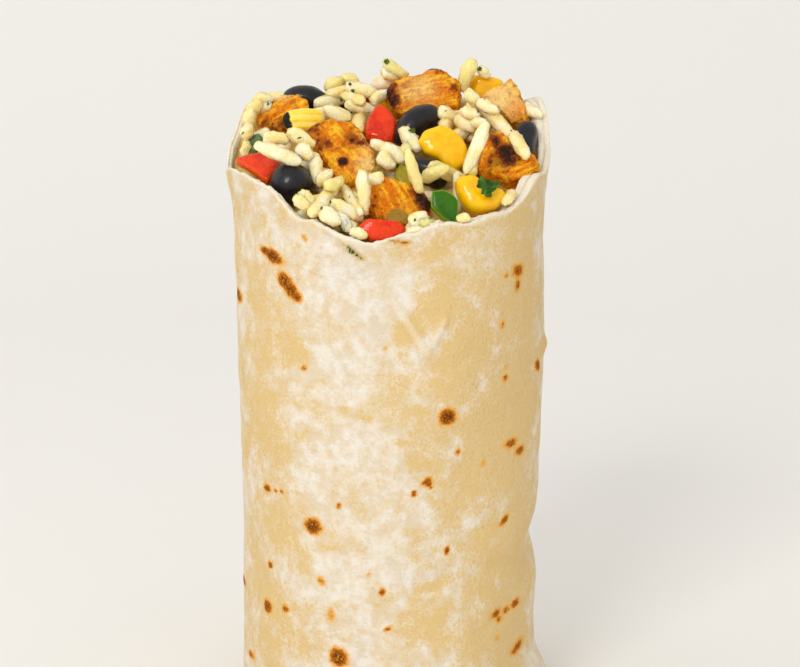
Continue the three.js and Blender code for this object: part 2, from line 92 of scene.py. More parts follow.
def ease(low: float, high: float, value: Field) -> Field:
    """0 below low, 1 above high and a smooth step between."""
    t = np.clip((value - low) / (high - low), 0, 1)
    return t * t * (3 - 2 * t)


def turn_between(start: float, end: Field) -> Field:
    """Degrees from one bearing to another, between -180 and 180."""
    return (end - start + 180) % 360 - 180


def on_bearing(bearing: Field, radius: Field, z: Field) -> Field:
    """Points at bearings, distances from the axis and heights, as an array with a row for each."""
    a = np.radians(bearing)
    return np.stack(np.broadcast_arrays(radius * np.sin(a), -radius * np.cos(a), z), axis=-1)


def fractal(points: Field, size: float, octaves: int = 3, seed: float = 0) -> Field:
    """Fractal noise at points.

    Args:
        points: Rows of X, Y and Z.
        size: The width of the broadest lumps, in the unit of the points.
        octaves: How many finer layers are added.
        seed: Moves the pattern.

    Returns:
        One value a point, mostly between -1 and 1.
    """
    shift = np.array([17.3, 9.1, 31.7]) * (seed + 0.37)
    scaled = points.reshape(-1, 3) / size + shift
    values = [noise.fractal(p, 1.0, 2.0, octaves) for p in scaled]
    return np.array(values).reshape(points.shape[:-1])


def colour(red: int, green: int, blue: int) -> Colour:
    """A linear colour from one given as on a screen, from 0 to 255.

    Args:
        red: Red, from 0 to 255.
        green: Green, likewise.
        blue: Blue, likewise.

    Returns:
        The linear colour, with an alpha of 1.
    """
    screen = np.array([red, green, blue]) / 255
    linear = np.where(screen <= 0.04045, screen / 12.92, ((screen + 0.055) / 1.055) ** 2.4)
    return (*(float(c) for c in linear), 1.0)


# The view of the photograph


@dataclass(frozen=True)
class PhotoView:
    """The camera, and the way from a pixel of the photograph to a place on the burrito."""

    target: Point = (2.2, 0.0, 77.2)
    distance: float = 520.0
    elevation: float = 13.5
    lens: float = 116.2
    sensor: float = 36.0
    width: int = 800
    height: int = 667

    def eye(self) -> Vector:
        """Where the camera stands."""
        e = math.radians(self.elevation)
        return Vector(self.target) + Vector((0, -math.cos(e), math.sin(e))) * self.distance

    def axes(self) -> tuple[Vector, Vector, Vector]:
        """The camera's right, up and forward directions.

        Returns:
            Right, up and forward, each of length 1.
        """
        e = math.radians(self.elevation)
        up = Vector((0, math.sin(e), math.cos(e)))
        forward = Vector((0, math.cos(e), -math.sin(e)))
        return Vector((1, 0, 0)), up, forward

    def ray(self, pixel: Pixel) -> Vector:
        """The direction from the camera through a pixel.

        Args:
            pixel: Place in the photograph, from its top left corner.

        Returns:
            The direction, of length 1.
        """
        right, up, forward = self.axes()
        focal = self.lens / self.sensor * self.width
        across = (pixel[0] - self.width / 2) / focal
        above = (self.height / 2 - pixel[1]) / focal
        return (forward + right * across + up * above).normalized()

    def on_tree(self, tree: BVHTree, pixel: Pixel) -> tuple[Optional[Vector], Optional[Vector]]:
        """The first point of a surface that shows at a pixel and the normal there, or twice None."""
        return tree.ray_cast(self.eye(), self.ray(pixel))[:2]

    def at_depth(self, pixel: Pixel, y: float) -> Vector:
        """The point at a depth that shows at a pixel."""
        ray = self.ray(pixel)
        return self.eye() + ray * ((y - self.eye().y) / ray.y)

    def make_camera(self) -> Thing:
        """Adds the camera and makes it the scene's.

        Returns:
            The camera.
        """
        data = bpy.data.cameras.new("photo_view")
        data.lens = self.lens
        data.sensor_width = self.sensor
        data.clip_start = 0.01
        data.clip_end = 20.0
        camera = bpy.data.objects.new("photo_view", data)
        camera.location = self.eye() * MM
        camera.rotation_mode = "QUATERNION"
        camera.rotation_quaternion = self.axes()[2].to_track_quat("-Z", "Y")
        bpy.context.scene.collection.objects.link(camera)
        bpy.context.scene.camera = camera
        return camera


VIEW = PhotoView()


# Meshes


def shade_smooth(mesh: bpy.types.Mesh) -> None:
    """Shades all faces of a mesh smoothly."""
    mesh.polygons.foreach_set("use_smooth", [True] * len(mesh.polygons))


def set_mark(mesh: bpy.types.Mesh, mark: str, values: Field) -> None:
    """Stores one named value a point on a mesh."""
    layer = mesh.attributes.new(mark, "FLOAT", "POINT")
    layer.data.foreach_set("value", np.ascontiguousarray(values, dtype=np.float32).ravel())


def make_object(
    name: str,
    points: Field,
    faces: Sequence[Sequence[int]],
    material: Optional[bpy.types.Material],
    marks: Optional[dict[str, Field]] = None,
) -> Thing:
    """Makes a smooth mesh object from points in millimetres.

    Args:
        name: The object's name.
        points: Rows of X, Y and Z in millimetres.
        faces: Corner numbers of each face, anticlockwise seen from outside.
        material: Its finish.
        marks: Named values, one a point, that the finish reads.

    Returns:
        The object, at the origin.
    """
    mesh = bpy.data.meshes.new(name)
    mesh.from_pydata((points.reshape(-1, 3) * MM).tolist(), [], faces)
    shade_smooth(mesh)
    for mark, values in (marks or {}).items():
        set_mark(mesh, mark, values)
    if material:
        mesh.materials.append(material)
    mesh.update()
    thing = bpy.data.objects.new(name, mesh)
    bpy.context.scene.collection.objects.link(thing)
    return thing


def ring_faces(rings: int, count: int, first: int, last: int) -> list[Face]:
    """Faces of a closed form made of rings, each going anticlockwise seen from the end of the last ring.

    Args:
        rings: How many rings there are.
        count: Points in each ring.
        first: Number of the point that closes the first ring.
        last: Number of the point that closes the last ring.

    Returns:
        Quads between the rings and triangles at both ends.
    """
    faces: list[Face] = []
    for r in range(rings - 1):
        for i in range(count):
            j = (i + 1) % count
            faces.append((r * count + i, r * count + j, (r + 1) * count + j, (r + 1) * count + i))
    top = (rings - 1) * count
    for i in range(count):
        j = (i + 1) % count
        faces.append((first, j, i))
        faces.append((last, top + i, top + j))
    return faces


def read_rows(items: bpy.types.bpy_prop_collection, key: str) -> Field:
    """A value of three numbers of each item, as rows.

    Args:
        items: What is read, such as a mesh's vertices.
        key: Name of the value.

    Returns:
        A row of three numbers for each item.
    """
    flat = np.empty(len(items) * 3, np.float32)
    items.foreach_get(key, flat)
    return flat.reshape(-1, 3).astype(float)


def points_of(thing: Thing) -> Field:
    """The points of a mesh object, in millimetres."""
    return read_rows(thing.data.vertices, "co") / MM


def normals_of(thing: Thing) -> Field:
    """The smooth normals at the points of a mesh object."""
    return read_rows(thing.data.vertex_normals, "vector")


def move_points(thing: Thing, points: Field) -> None:
    """Puts the points of a mesh object at other places, given in millimetres."""
    thing.data.vertices.foreach_set("co", (points * MM).astype(np.float32).ravel())
    thing.data.update()


def apply_modifiers(thing: Thing) -> None:
    """Turns what a mesh object's modifiers make into its plain mesh.

    Args:
        thing: The object, which loses its modifiers.
    """
    graph = bpy.context.evaluated_depsgraph_get()
    made = bpy.data.meshes.new_from_object(thing.evaluated_get(graph), depsgraph=graph)
    old = thing.data
    thing.modifiers.clear()
    thing.data = made
    bpy.data.meshes.remove(old)


def even_mesh(thing: Thing, cell: float) -> None:
    """Rebuilds a closed mesh from even faces.

    Args:
        thing: The object.
        cell: Width of a face in millimetres.
    """
    remesh = thing.modifiers.new("even", "REMESH")
    remesh.mode = "VOXEL"
    remesh.voxel_size = cell * MM
    remesh.use_smooth_shade = True
    apply_modifiers(thing)


def tree_of(things: Iterable[Thing]) -> BVHTree:
    """A search tree of all faces of some mesh objects, in millimetres.

    Args:
        things: The mesh objects.

    Returns:
        The tree.
    """
    points: list[Vector] = []
    faces: list[list[int]] = []
    for thing in things:
        base = len(points)
        points.extend(Vector(p) for p in points_of(thing))
        faces.extend([base + v for v in p.vertices] for p in thing.data.polygons)
    return BVHTree.FromPolygons(points, faces)


def from_above(tree: BVHTree, x: float, y: float) -> tuple[Optional[Vector], Optional[Vector]]:
    """The highest point of a surface over a place and the normal there, or twice None."""
    return tree.ray_cast(Vector((x, y, ABOVE_ALL)), Vector((0, 0, -1)))[:2]


def declare(thing: Thing, nodes: Sequence[str] = ()) -> None:
    """Ties a finished piece to the body and hides the nodes that it stands for.

    Args:
        thing: The finished piece.
        nodes: Names of the nodes.
    """
    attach(thing, BODY)
    if nodes:
        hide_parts(*nodes)
    log.info("%s: %d points for %s", thing.name, len(thing.data.vertices), ", ".join(nodes) or "no node")


# Finishes


class Bench:
    """Adds nodes to one node tree and joins them."""

    def __init__(self, tree: bpy.types.NodeTree) -> None:
        """Starts on a tree."""
        self.tree = tree

    def add(self, kind: str, **settings: object) -> bpy.types.Node:
        """Adds a node of a kind and sets its options.

        Args:
            kind: Blender's name for the node's type.
            settings: The options by name.

        Returns:
            The node.
        """
        node = self.tree.nodes.new(kind)
        for name, value in settings.items():
            setattr(node, name, value)
        return node

    def put(self, socket: Socket, value: object) -> None:
        """Links a socket to another one, or gives it a plain value.

        Args:
            socket: The input.
            value: A socket or a plain value.
        """
        if isinstance(value, Socket):
            self.tree.links.new(value, socket)
        else:
            socket.default_value = value

    def math(self, operation: str, a: object, b: object = 0.0, clamp: bool = False) -> Socket:
        """An operation on two values.

        Args:
            operation: Blender's name for it.
            a: First number or socket.
            b: Second number or socket.
            clamp: Whether the result is kept between 0 and 1.

        Returns:
            The result.
        """
        node = self.add("ShaderNodeMath", operation=operation, use_clamp=clamp)
        self.put(node.inputs[0], a)
        self.put(node.inputs[1], b)
        return node.outputs[0]

    def times(self, a: object, b: object) -> Socket:
        """The product of two values."""
        return self.math("MULTIPLY", a, b)

    def plus(self, a: object, b: object) -> Socket:
        """The sum of two values."""
        return self.math("ADD", a, b)

    def scaled(self, vector: object, by: object) -> Socket:
        """A vector times a number.

        Args:
            vector: The vector or its socket.
            by: The number or its socket.

        Returns:
            The new vector.
        """
        node = self.add("ShaderNodeVectorMath", operation="SCALE")
        self.put(node.inputs[0], vector)
        self.put(node.inputs["Scale"], by)
        return node.outputs[0]

    def noise(self, vector: object, size: object, detail: float = 2.0, rough: float = 0.5) -> Socket:
        """Noise with lumps of a given breadth.

        Args:
            vector: Where it is read.
            size: Breadth of a lump in the vector's unit, a number or a socket.
            detail: How many finer layers it has.
            rough: How strong the finer layers are.

        Returns:
            The noise, from 0 to 1.
        """
        node = self.add("ShaderNodeTexNoise", noise_dimensions="3D")
        linked = isinstance(size, Socket)
        self.put(node.inputs["Vector"], vector)
        self.put(node.inputs["Scale"], self.math("DIVIDE", 1.0, size) if linked else 1.0 / size)
        self.put(node.inputs["Detail"], detail)
        self.put(node.inputs["Roughness"], rough)
        return node.outputs[0]

    def step(self, value: object, low: object, high: object) -> Socket:
        """A smooth step from 0 at low to 1 at high.

        Args:
            value: What is read.
            low: Where the step starts.
            high: Where it ends.

        Returns:
            A value from 0 to 1.
        """
        node = self.add("ShaderNodeMapRange", interpolation_type="SMOOTHSTEP")
        self.put(node.inputs["Value"], value)
        self.put(node.inputs["From Min"], low)
        self.put(node.inputs["From Max"], high)
        return node.outputs[0]

    def blend(self, factor: object, a: object, b: object) -> Socket:
        """A colour between two others.

        Args:
            factor: Share of the second colour.
            a: First colour.
            b: Second colour.

        Returns:
            The mixed colour.
        """
        node = self.add("ShaderNodeMix", data_type="RGBA", clamp_factor=True)
        self.put(node.inputs[0], factor)
        self.put(node.inputs[6], a)
        self.put(node.inputs[7], b)
        return node.outputs[2]

    def attribute(self, name: str) -> Socket:
        """A named value of the mesh."""
        return self.add("ShaderNodeAttribute", attribute_name=name, attribute_type="GEOMETRY").outputs["Fac"]

    def millimetres(self) -> Socket:
        """The object's own coordinates in millimetres."""
        return self.scaled(self.add("ShaderNodeTexCoord").outputs["Object"], 1 / MM)

    def group(self, tree: bpy.types.NodeTree, **inputs: object) -> bpy.types.Node:
        """Places a node group.

        Args:
            tree: The group.
            inputs: Its inputs by name, with _ for each space.

        Returns:
            The node.
        """
        node = self.add("ShaderNodeGroup", node_tree=tree)
        for name, value in inputs.items():
            self.put(node.inputs[name.replace("_", " ")], value)
        return node

    def patches(self, where: object, size: float, low: float, high: float, bias: object = 0.0) -> object:
        """The mask of the shared group of uneven patches."""
        return self.group(PATCHES, Vector=where, Size=size, Low=low, High=high, Bias=bias).outputs[0]

    def pits(self, where: object, size: float, pits: float) -> Socket:
        """The height of the shared group of fine pits."""
        return self.group(PITS, Vector=where, Size=size, Pits=pits).outputs[0]

    def bump(self, height: object, depth: float) -> Socket:
        """A normal from a relief.

        Args:
            height: The relief.
            depth: Its depth in millimetres.

        Returns:
            The normal.
        """
        node = self.add("ShaderNodeBump")
        node.inputs["Strength"].default_value = 1.0
        node.inputs["Distance"].default_value = depth * MM
        self.put(node.inputs["Height"], height)
        return node.outputs[0]


def socket(
    tree: bpy.types.NodeTree, name: str, into: bool, kind: str, value: Optional[float] = None
) -> None:
    """Adds a named socket to a node group.

    Args:
        tree: The group.
        name: Name of the socket.
        into: Whether it is an input.
        kind: Blender's name for its type.
        value: What an input is set to at first.
    """
    made = tree.interface.new_socket(name, in_out="INPUT" if into else "OUTPUT", socket_type=kind)
    if value is not None:
        made.default_value = value


def patches_group() -> bpy.types.NodeTree:
    """Uneven patches at two scales: inputs Vector, Size, Low, High and Bias, output Mask.

    Returns:
        The group.
    """
    tree = bpy.data.node_groups.new("uneven_patches", "ShaderNodeTree")
    socket(tree, "Vector", True, "NodeSocketVector")
    for name, value in (("Size", 8.0), ("Low", 0.4), ("High", 0.6), ("Bias", 0.0)):
        socket(tree, name, True, "NodeSocketFloat", value)
    socket(tree, "Mask", False, "NodeSocketFloat")
    bench = Bench(tree)
    given = bench.add("NodeGroupInput").outputs
    level = bench.plus(bench.noise(given["Vector"], given["Size"], 4.0, 0.6), given["Bias"])
    mask = bench.step(level, given["Low"], given["High"])
    bench.put(bench.add("NodeGroupOutput").inputs["Mask"], mask)
    return tree


def pits_group() -> bpy.types.NodeTree:
    """A fine uneven surface: inputs Vector, Size and Pits, output Height.

    Returns:
        The group.
    """
    tree = bpy.data.node_groups.new("fine_pits", "ShaderNodeTree")
    socket(tree, "Vector", True, "NodeSocketVector")
    socket(tree, "Size", True, "NodeSocketFloat", 1.0)
    socket(tree, "Pits", True, "NodeSocketFloat", 0.5)
    socket(tree, "Height", False, "NodeSocketFloat")
    bench = Bench(tree)
    given = bench.add("NodeGroupInput").outputs
    rough = bench.noise(given["Vector"], given["Size"], 3.0)
    cells = bench.add("ShaderNodeTexVoronoi", feature="F1")
    bench.put(cells.inputs["Vector"], given["Vector"])
    bench.put(cells.inputs["Scale"], bench.math("DIVIDE", 1.0, given["Size"]))
    hollow = bench.times(bench.step(cells.outputs["Distance"], 0.0, 0.5), given["Pits"])
    bench.put(bench.add("NodeGroupOutput").inputs["Height"], bench.plus(rough, hollow))
    return tree


PATCHES = patches_group()
PITS = pits_group()


@dataclass(frozen=True)
class Surface:
    """What the shader of a finish is set to, apart from its colour."""

    roughness: float = 0.5
    soak: float = 0.0
    soak_depth: float = 1.5
    coat: float = 0.0
    coat_roughness: float = 0.15
    specular: float = 0.5
    ior: float = 1.45
    glow: tuple[float, float, float] = (1.0, 0.6, 0.35)

    def shader(self, bench: Bench) -> bpy.types.Node:
        """Adds the shader with these values and its output.

        Args:
            bench: The bench of the material.

        Returns:
            The shader.
        """
        node = bench.add("ShaderNodeBsdfPrincipled")
        values = {
            "Roughness": self.roughness,
            "Subsurface Weight": self.soak,
            "Subsurface Scale": self.soak_depth * MM,
            "Subsurface Radius": self.glow,
            "Coat Weight": self.coat,
            "Coat Roughness": self.coat_roughness,
            "Specular IOR Level": self.specular,
            "IOR": self.ior,
        }
        for name, value in values.items():
            node.inputs[name].default_value = value
        out = bench.add("ShaderNodeOutputMaterial")
        bench.put(out.inputs["Surface"], node.outputs[0])
        return node

    def dress(self, bench: Bench, base: object, height: object, depth: float) -> None:
        """Adds the shader with a colour and a relief.

        Args:
            bench: The bench of the material.
            base: The colour.
            height: The relief.
            depth: Depth of the relief in millimetres.
        """
        shader = self.shader(bench)
        bench.put(shader.inputs["Base Color"], base)
        bench.put(shader.inputs["Normal"], bench.bump(height, depth))


def new_material(name: str) -> tuple[bpy.types.Material, Bench]:
    """An empty material and a bench on its tree.

    Args:
        name: Name of the material.

    Returns:
        The material and its bench.
    """
    material = bpy.data.materials.new(name)
    material.use_nodes = True
    material.node_tree.nodes.clear()
    return material, Bench(material.node_tree)


@dataclass(frozen=True)
class TortillaFinish:
    """Floury wheat sheet with warm patches, toasted spots and a white crumb at the cut. Some warm patches
    and one dark line in a slit are painted shade, and the crumb colour also paints highlights along raised
    ridges.
    """

    flour: Colour = colour(230, 223, 211)
    cream: Colour = colour(219, 204, 180)
    warm: Colour = colour(217, 187, 130)
    halo: Colour = colour(226, 166, 74)
    toast: Colour = colour(166, 90, 14)
    char: Colour = colour(106, 50, 6)
    gold: Colour = colour(214, 146, 34)
    crumb: Colour = colour(240, 230, 208)
    surface: Surface = Surface(roughness=0.75, soak=0.12, soak_depth=1.6, specular=0.12)

    def material(self) -> bpy.types.Material:
        """Builds the material.

        Returns:
            The material.
        """
        material, bench = new_material("tortilla_finish")
        where = bench.millimetres()
        fine = bench.noise(where, 0.55, 3.0, 0.65)
        mid = bench.noise(where, 3.4, 4.0, 0.65)
        # The warm mark holds warm patches and also painted shade on the sides turned from the key lamp.
        warm_mark = bench.times(bench.attribute("warm"), 0.15)
        patches = bench.patches(where, 8.5, 0.45, 0.78, warm_mark)
        small = bench.patches(where, 2.4, 0.46, 0.78, warm_mark)
        base = bench.blend(bench.step(mid, 0.38, 0.62), self.flour, self.cream)
        warmth = bench.plus(bench.times(patches, 0.84), bench.times(small, 0.52))
        speckle = bench.times(bench.step(fine, 0.4, 0.62), 0.6)
        base = bench.blend(bench.times(warmth, bench.plus(speckle, 0.7)), base, self.warm)
        toast = bench.attribute("toast")
        uneven = bench.times(bench.math("SUBTRACT", fine, 0.5), 1.6)
        level = bench.times(toast, bench.plus(uneven, 1.0))
        grain = bench.noise(where, 0.3, 2.0, 0.6)
        dark = bench.times(toast, bench.plus(bench.times(grain, 1.5), 0.25))
        toned = bench.blend(bench.step(level, 0.0, 0.36), base, self.halo)
        toned = bench.blend(bench.step(level, 0.28, 0.62), toned, self.toast)
        toned = bench.blend(bench.step(dark, 0.6, 0.9), toned, self.char)
        specks = bench.step(bench.noise(where, 0.42, 2.0), 0.52, 0.66)
        specks = bench.times(specks, bench.step(toast, 0.5, 0.9))
        toned = bench.blend(bench.times(specks, 0.7), toned, self.gold)
        # The cut mark paints the white crumb at the cut, and also a painted highlight along raised ridges.
        toned = bench.blend(bench.attribute("cut"), toned, self.crumb)
        crumbly = bench.times(bench.noise(where, 0.5, 3.0, 0.7), bench.attribute("cut"))
        self.surface.dress(bench, toned, bench.plus(bench.pits(where, 0.7, 0.35), crumbly), 0.24)
        return material


@dataclass(frozen=True)
class RiceFinish:
    """Cooked long-grain rice, cream to greenish yellow, a little translucent and moist, with painted shade
    in a darker yellow where a grain is seen edge-on.
    """

    name: str = "rice_finish"
    pale: Colour = colour(255, 244, 208)
    cream: Colour = colour(255, 226, 148)
    green: Colour = colour(240, 228, 150)
    # edge is the colour of the painted shade where a grain is seen edge-on.
    edge: Colour = colour(232, 190, 96)
    surface: Surface = Surface(
        roughness=0.34, soak=0.55, soak_depth=1.4, coat=0.25, coat_roughness=0.12, specular=0.2,
        glow=(1.0, 0.8, 0.35),
    )

    def material(self) -> bpy.types.Material:
        """Builds the material.

        Returns:
            The material.
        """
        material, bench = new_material(self.name)
        where = bench.millimetres()
        tint = bench.attribute("tint")
        mottle = bench.noise(where, 2.4, 3.0, 0.6)
        yellow = bench.plus(mottle, bench.times(tint, 0.35))
        base = bench.blend(bench.step(yellow, 0.45, 0.8), self.pale, self.cream)
        base = bench.blend(bench.step(tint, 0.55, 0.95), base, self.green)
        # Where the grain is seen edge-on, its colour turns to the edge tone. This is painted shade standing
        # in for light passing through it.
        layer = bench.add("ShaderNodeLayerWeight")
        layer.inputs["Blend"].default_value = 0.4
        thin = bench.times(bench.step(layer.outputs["Facing"], 0.25, 0.95), 0.6)
        base = bench.blend(thin, base, self.edge)
        self.surface.dress(bench, base, bench.pits(where, 0.5, 0.4), 0.22)
        return material


@dataclass(frozen=True)
class ChickenFinish:
    """Grilled chicken: golden and fibrous, browned to black where marked, pale where it is torn. On the back
    piece the pale mark is painted light.
    """

    gold: Colour = colour(232, 130, 8)
    bright: Colour = colour(255, 192, 38)
    pale: Colour = colour(250, 212, 136)
    brown: Colour = colour(140, 62, 10)
    black: Colour = colour(54, 28, 16)
    surface: Surface = Surface(
        roughness=0.6, soak=0.15, soak_depth=1.0, coat=0.08, coat_roughness=0.3, specular=0.12
    )

    def material(self) -> bpy.types.Material:
        """Builds the material.

        Returns:
            The material.
        """
        material, bench = new_material("chicken_finish")
        where = bench.millimetres()
        fine = bench.noise(where, 0.8, 3.0, 0.65)
        mid = bench.noise(where, 2.6, 3.0, 0.6)
        drawn = bench.plus(bench.times(bench.attribute("fibre"), 0.5), mid)
        base = bench.blend(bench.step(drawn, 0.32, 0.8), self.gold, self.bright)
        specks = bench.step(bench.noise(where, 0.4, 2.0), 0.6, 0.72)
        base = bench.blend(bench.times(specks, 0.5), base, self.brown)
        rust = bench.patches(where, 1.5, 0.54, 0.7)
        base = bench.blend(bench.times(rust, 0.35), base, self.brown)
        pale = bench.math("MULTIPLY", bench.attribute("pale"), bench.plus(mid, 0.5), clamp=True)
        base = bench.blend(pale, base, self.pale)
        char = bench.attribute("char")
        uneven = bench.plus(bench.times(bench.math("SUBTRACT", fine, 0.5), 1.1), 1.0)
        level = bench.times(char, uneven)
        base = bench.blend(bench.step(level, 0.12, 0.75), base, self.brown)
        base = bench.blend(bench.step(level, 0.6, 1.05), base, self.black)
        self.surface.dress(bench, base, bench.pits(where, 0.5, 0.5), 0.42)
        return material


@dataclass(frozen=True)
class FleshFinish:
    """A moist vegetable: one colour for its skin, with darker mottling, and one for its cut sides."""

    name: str
    skin: Colour
    deep: Colour
    flesh: Colour
    mottle: float = 2.0
    relief: float = 0.06
    grain: float = 0.5
    char: Colour = colour(18, 26, 12)
    surface: Surface = Surface(
        roughness=0.3, soak=0.2, soak_depth=1.0, coat=0.25, coat_roughness=0.08, specular=0.12
    )

    def material(self) -> bpy.types.Material:
        """Builds the material.

        Returns:
            The material.
        """
        material, bench = new_material(self.name)
        where = bench.millimetres()
        base = bench.blend(bench.patches(where, self.mottle, 0.4, 0.72), self.skin, self.deep)
        base = bench.blend(bench.attribute("side"), base, self.flesh)
        ragged = bench.times(bench.attribute("char"), bench.plus(bench.noise(where, 1.0), 0.5))
        base = bench.blend(bench.step(ragged, 0.4, 0.6), base, self.char)
        self.surface.dress(bench, base, bench.pits(where, self.grain, 0.3), self.relief)
        return material


BLACK_BEAN = FleshFinish(
    "black_bean_finish",
    skin=colour(24, 20, 28),
    deep=colour(12, 10, 14),
    flesh=colour(70, 62, 66),
    relief=0.07,
    grain=0.4,
    surface=Surface(roughness=0.34, coat=0.3, coat_roughness=0.07, specular=0.3),
)
SWEETCORN = FleshFinish(
    "sweetcorn_finish",
    skin=colour(255, 200, 0),
    deep=colour(255, 180, 0),
    flesh=colour(255, 232, 110),
    relief=0.03,
    grain=1.2,
    surface=Surface(
        roughness=0.3, soak=0.3, soak_depth=1.2, coat=0.6, coat_roughness=0.03, specular=0.1,
        glow=(1.0, 0.6, 0.05),
    ),
)
RED_PEPPER = FleshFinish(
    "red_pepper_finish",
    skin=colour(240, 64, 4),
    deep=colour(214, 34, 2),
    flesh=colour(246, 104, 20),
    relief=0.26,
    grain=0.42,
    surface=Surface(roughness=0.3, soak=0.2, soak_depth=1.0, coat=0.4, coat_roughness=0.06, specular=0.12),
)
PALE_CORN = FleshFinish(
    "pale_sweetcorn_finish",
    skin=colour(255, 226, 84),
    deep=colour(252, 204, 30),
    flesh=colour(255, 242, 176),
    relief=0.04,
    grain=0.8,
    surface=Surface(roughness=0.35, soak=0.3, soak_depth=1.2, coat=0.2, specular=0.15, glow=(1.0, 0.7, 0.1)),
)
GREEN_PEPPER = FleshFinish(
    "green_pepper_finish",
    skin=colour(52, 106, 2),
    deep=colour(34, 84, 0),
    flesh=colour(136, 186, 30),
    relief=0.04,
)
OLIVE_PEPPER = FleshFinish(
    "olive_pepper_finish",
    skin=colour(160, 148, 26),
    deep=colour(128, 112, 14),
    flesh=colour(178, 168, 60),
)
DULL_GREEN_PEPPER = FleshFinish(
    "dull_green_pepper_finish",
    skin=colour(104, 130, 84),
    deep=colour(58, 88, 48),
    flesh=colour(104, 150, 30),
    mottle=0.9,
    relief=0.08,
)
PICKLED_PEPPER = FleshFinish(
    "pickled_pepper_finish",
    skin=colour(160, 128, 34),
    deep=colour(122, 92, 18),
    flesh=colour(186, 160, 70),
    surface=Surface(roughness=0.3, soak=0.4, soak_depth=1.5, coat=0.25, specular=0.15),
)
ONION = FleshFinish(
    "onion_finish",
    skin=colour(240, 232, 200),
    deep=colour(234, 216, 166),
    flesh=colour(246, 238, 210),
    surface=Surface(
        roughness=0.3, soak=0.5, soak_depth=2.0, coat=0.25, specular=0.15, glow=(1.0, 0.85, 0.6)
    ),
)
HERB = FleshFinish(
    "herb_finish",
    skin=colour(52, 96, 16),
    deep=colour(22, 56, 18),
    flesh=colour(96, 140, 20),
    mottle=1.2,
    relief=0.05,
    surface=Surface(roughness=0.45, soak=0.1, coat=0.15, specular=0.15),
)
CHOPPED_HERB = FleshFinish(
    "chopped_herb_finish",
    skin=colour(80, 106, 12),
    deep=colour(34, 58, 10),
    flesh=colour(110, 140, 30),
    mottle=1.2,
    surface=Surface(roughness=0.45, soak=0.1, coat=0.15, specular=0.15),
)


# The roll


@dataclass(frozen=True)
class Swell:
    """A swell or hollow of the side: bearing and height of its middle, half-widths, rise and climb."""

    bearing: float
    height: float
    across: float
    tall: float
    rise: float
    lean: float = 0.0

    def at(self, bearing: Field, z: Field) -> Field:
        """Its rise at places of the side."""
        aside = turn_between(self.bearing, bearing)
        return self.rise * bell(aside, self.across) * bell(z - self.height - self.lean * aside, self.tall)


# Each row: bearing, height, across, tall, rise and lean.
SWELLS = tuple(
    Swell(*row)
    for row in (
        (92, 36.5, 38, 5.5, -1.8, 0.1), (88, 27, 34, 6, 0.6, 0.08), (90, 75.4, 8, 1.5, 0.75),
        (90, 87, 26, 13, 0.45), (90, 58, 30, 8, -0.3), (-92, 68, 40, 36, 0.35), (84, 4, 24, 5, 3.2),
        (-150, 6, 26, 6, 2.2), (90, 20, 46, 26, -1), (-88, 50, 60, 12, -0.3), (24, 78, 9, 9, 0.5, -0.5),
        (2, 84, 8, 10, -0.5, -0.6), (130, 70, 30, 16, -0.9, 0.1), (-130, 88, 26, 14, -0.7, -0.1),
    )
)


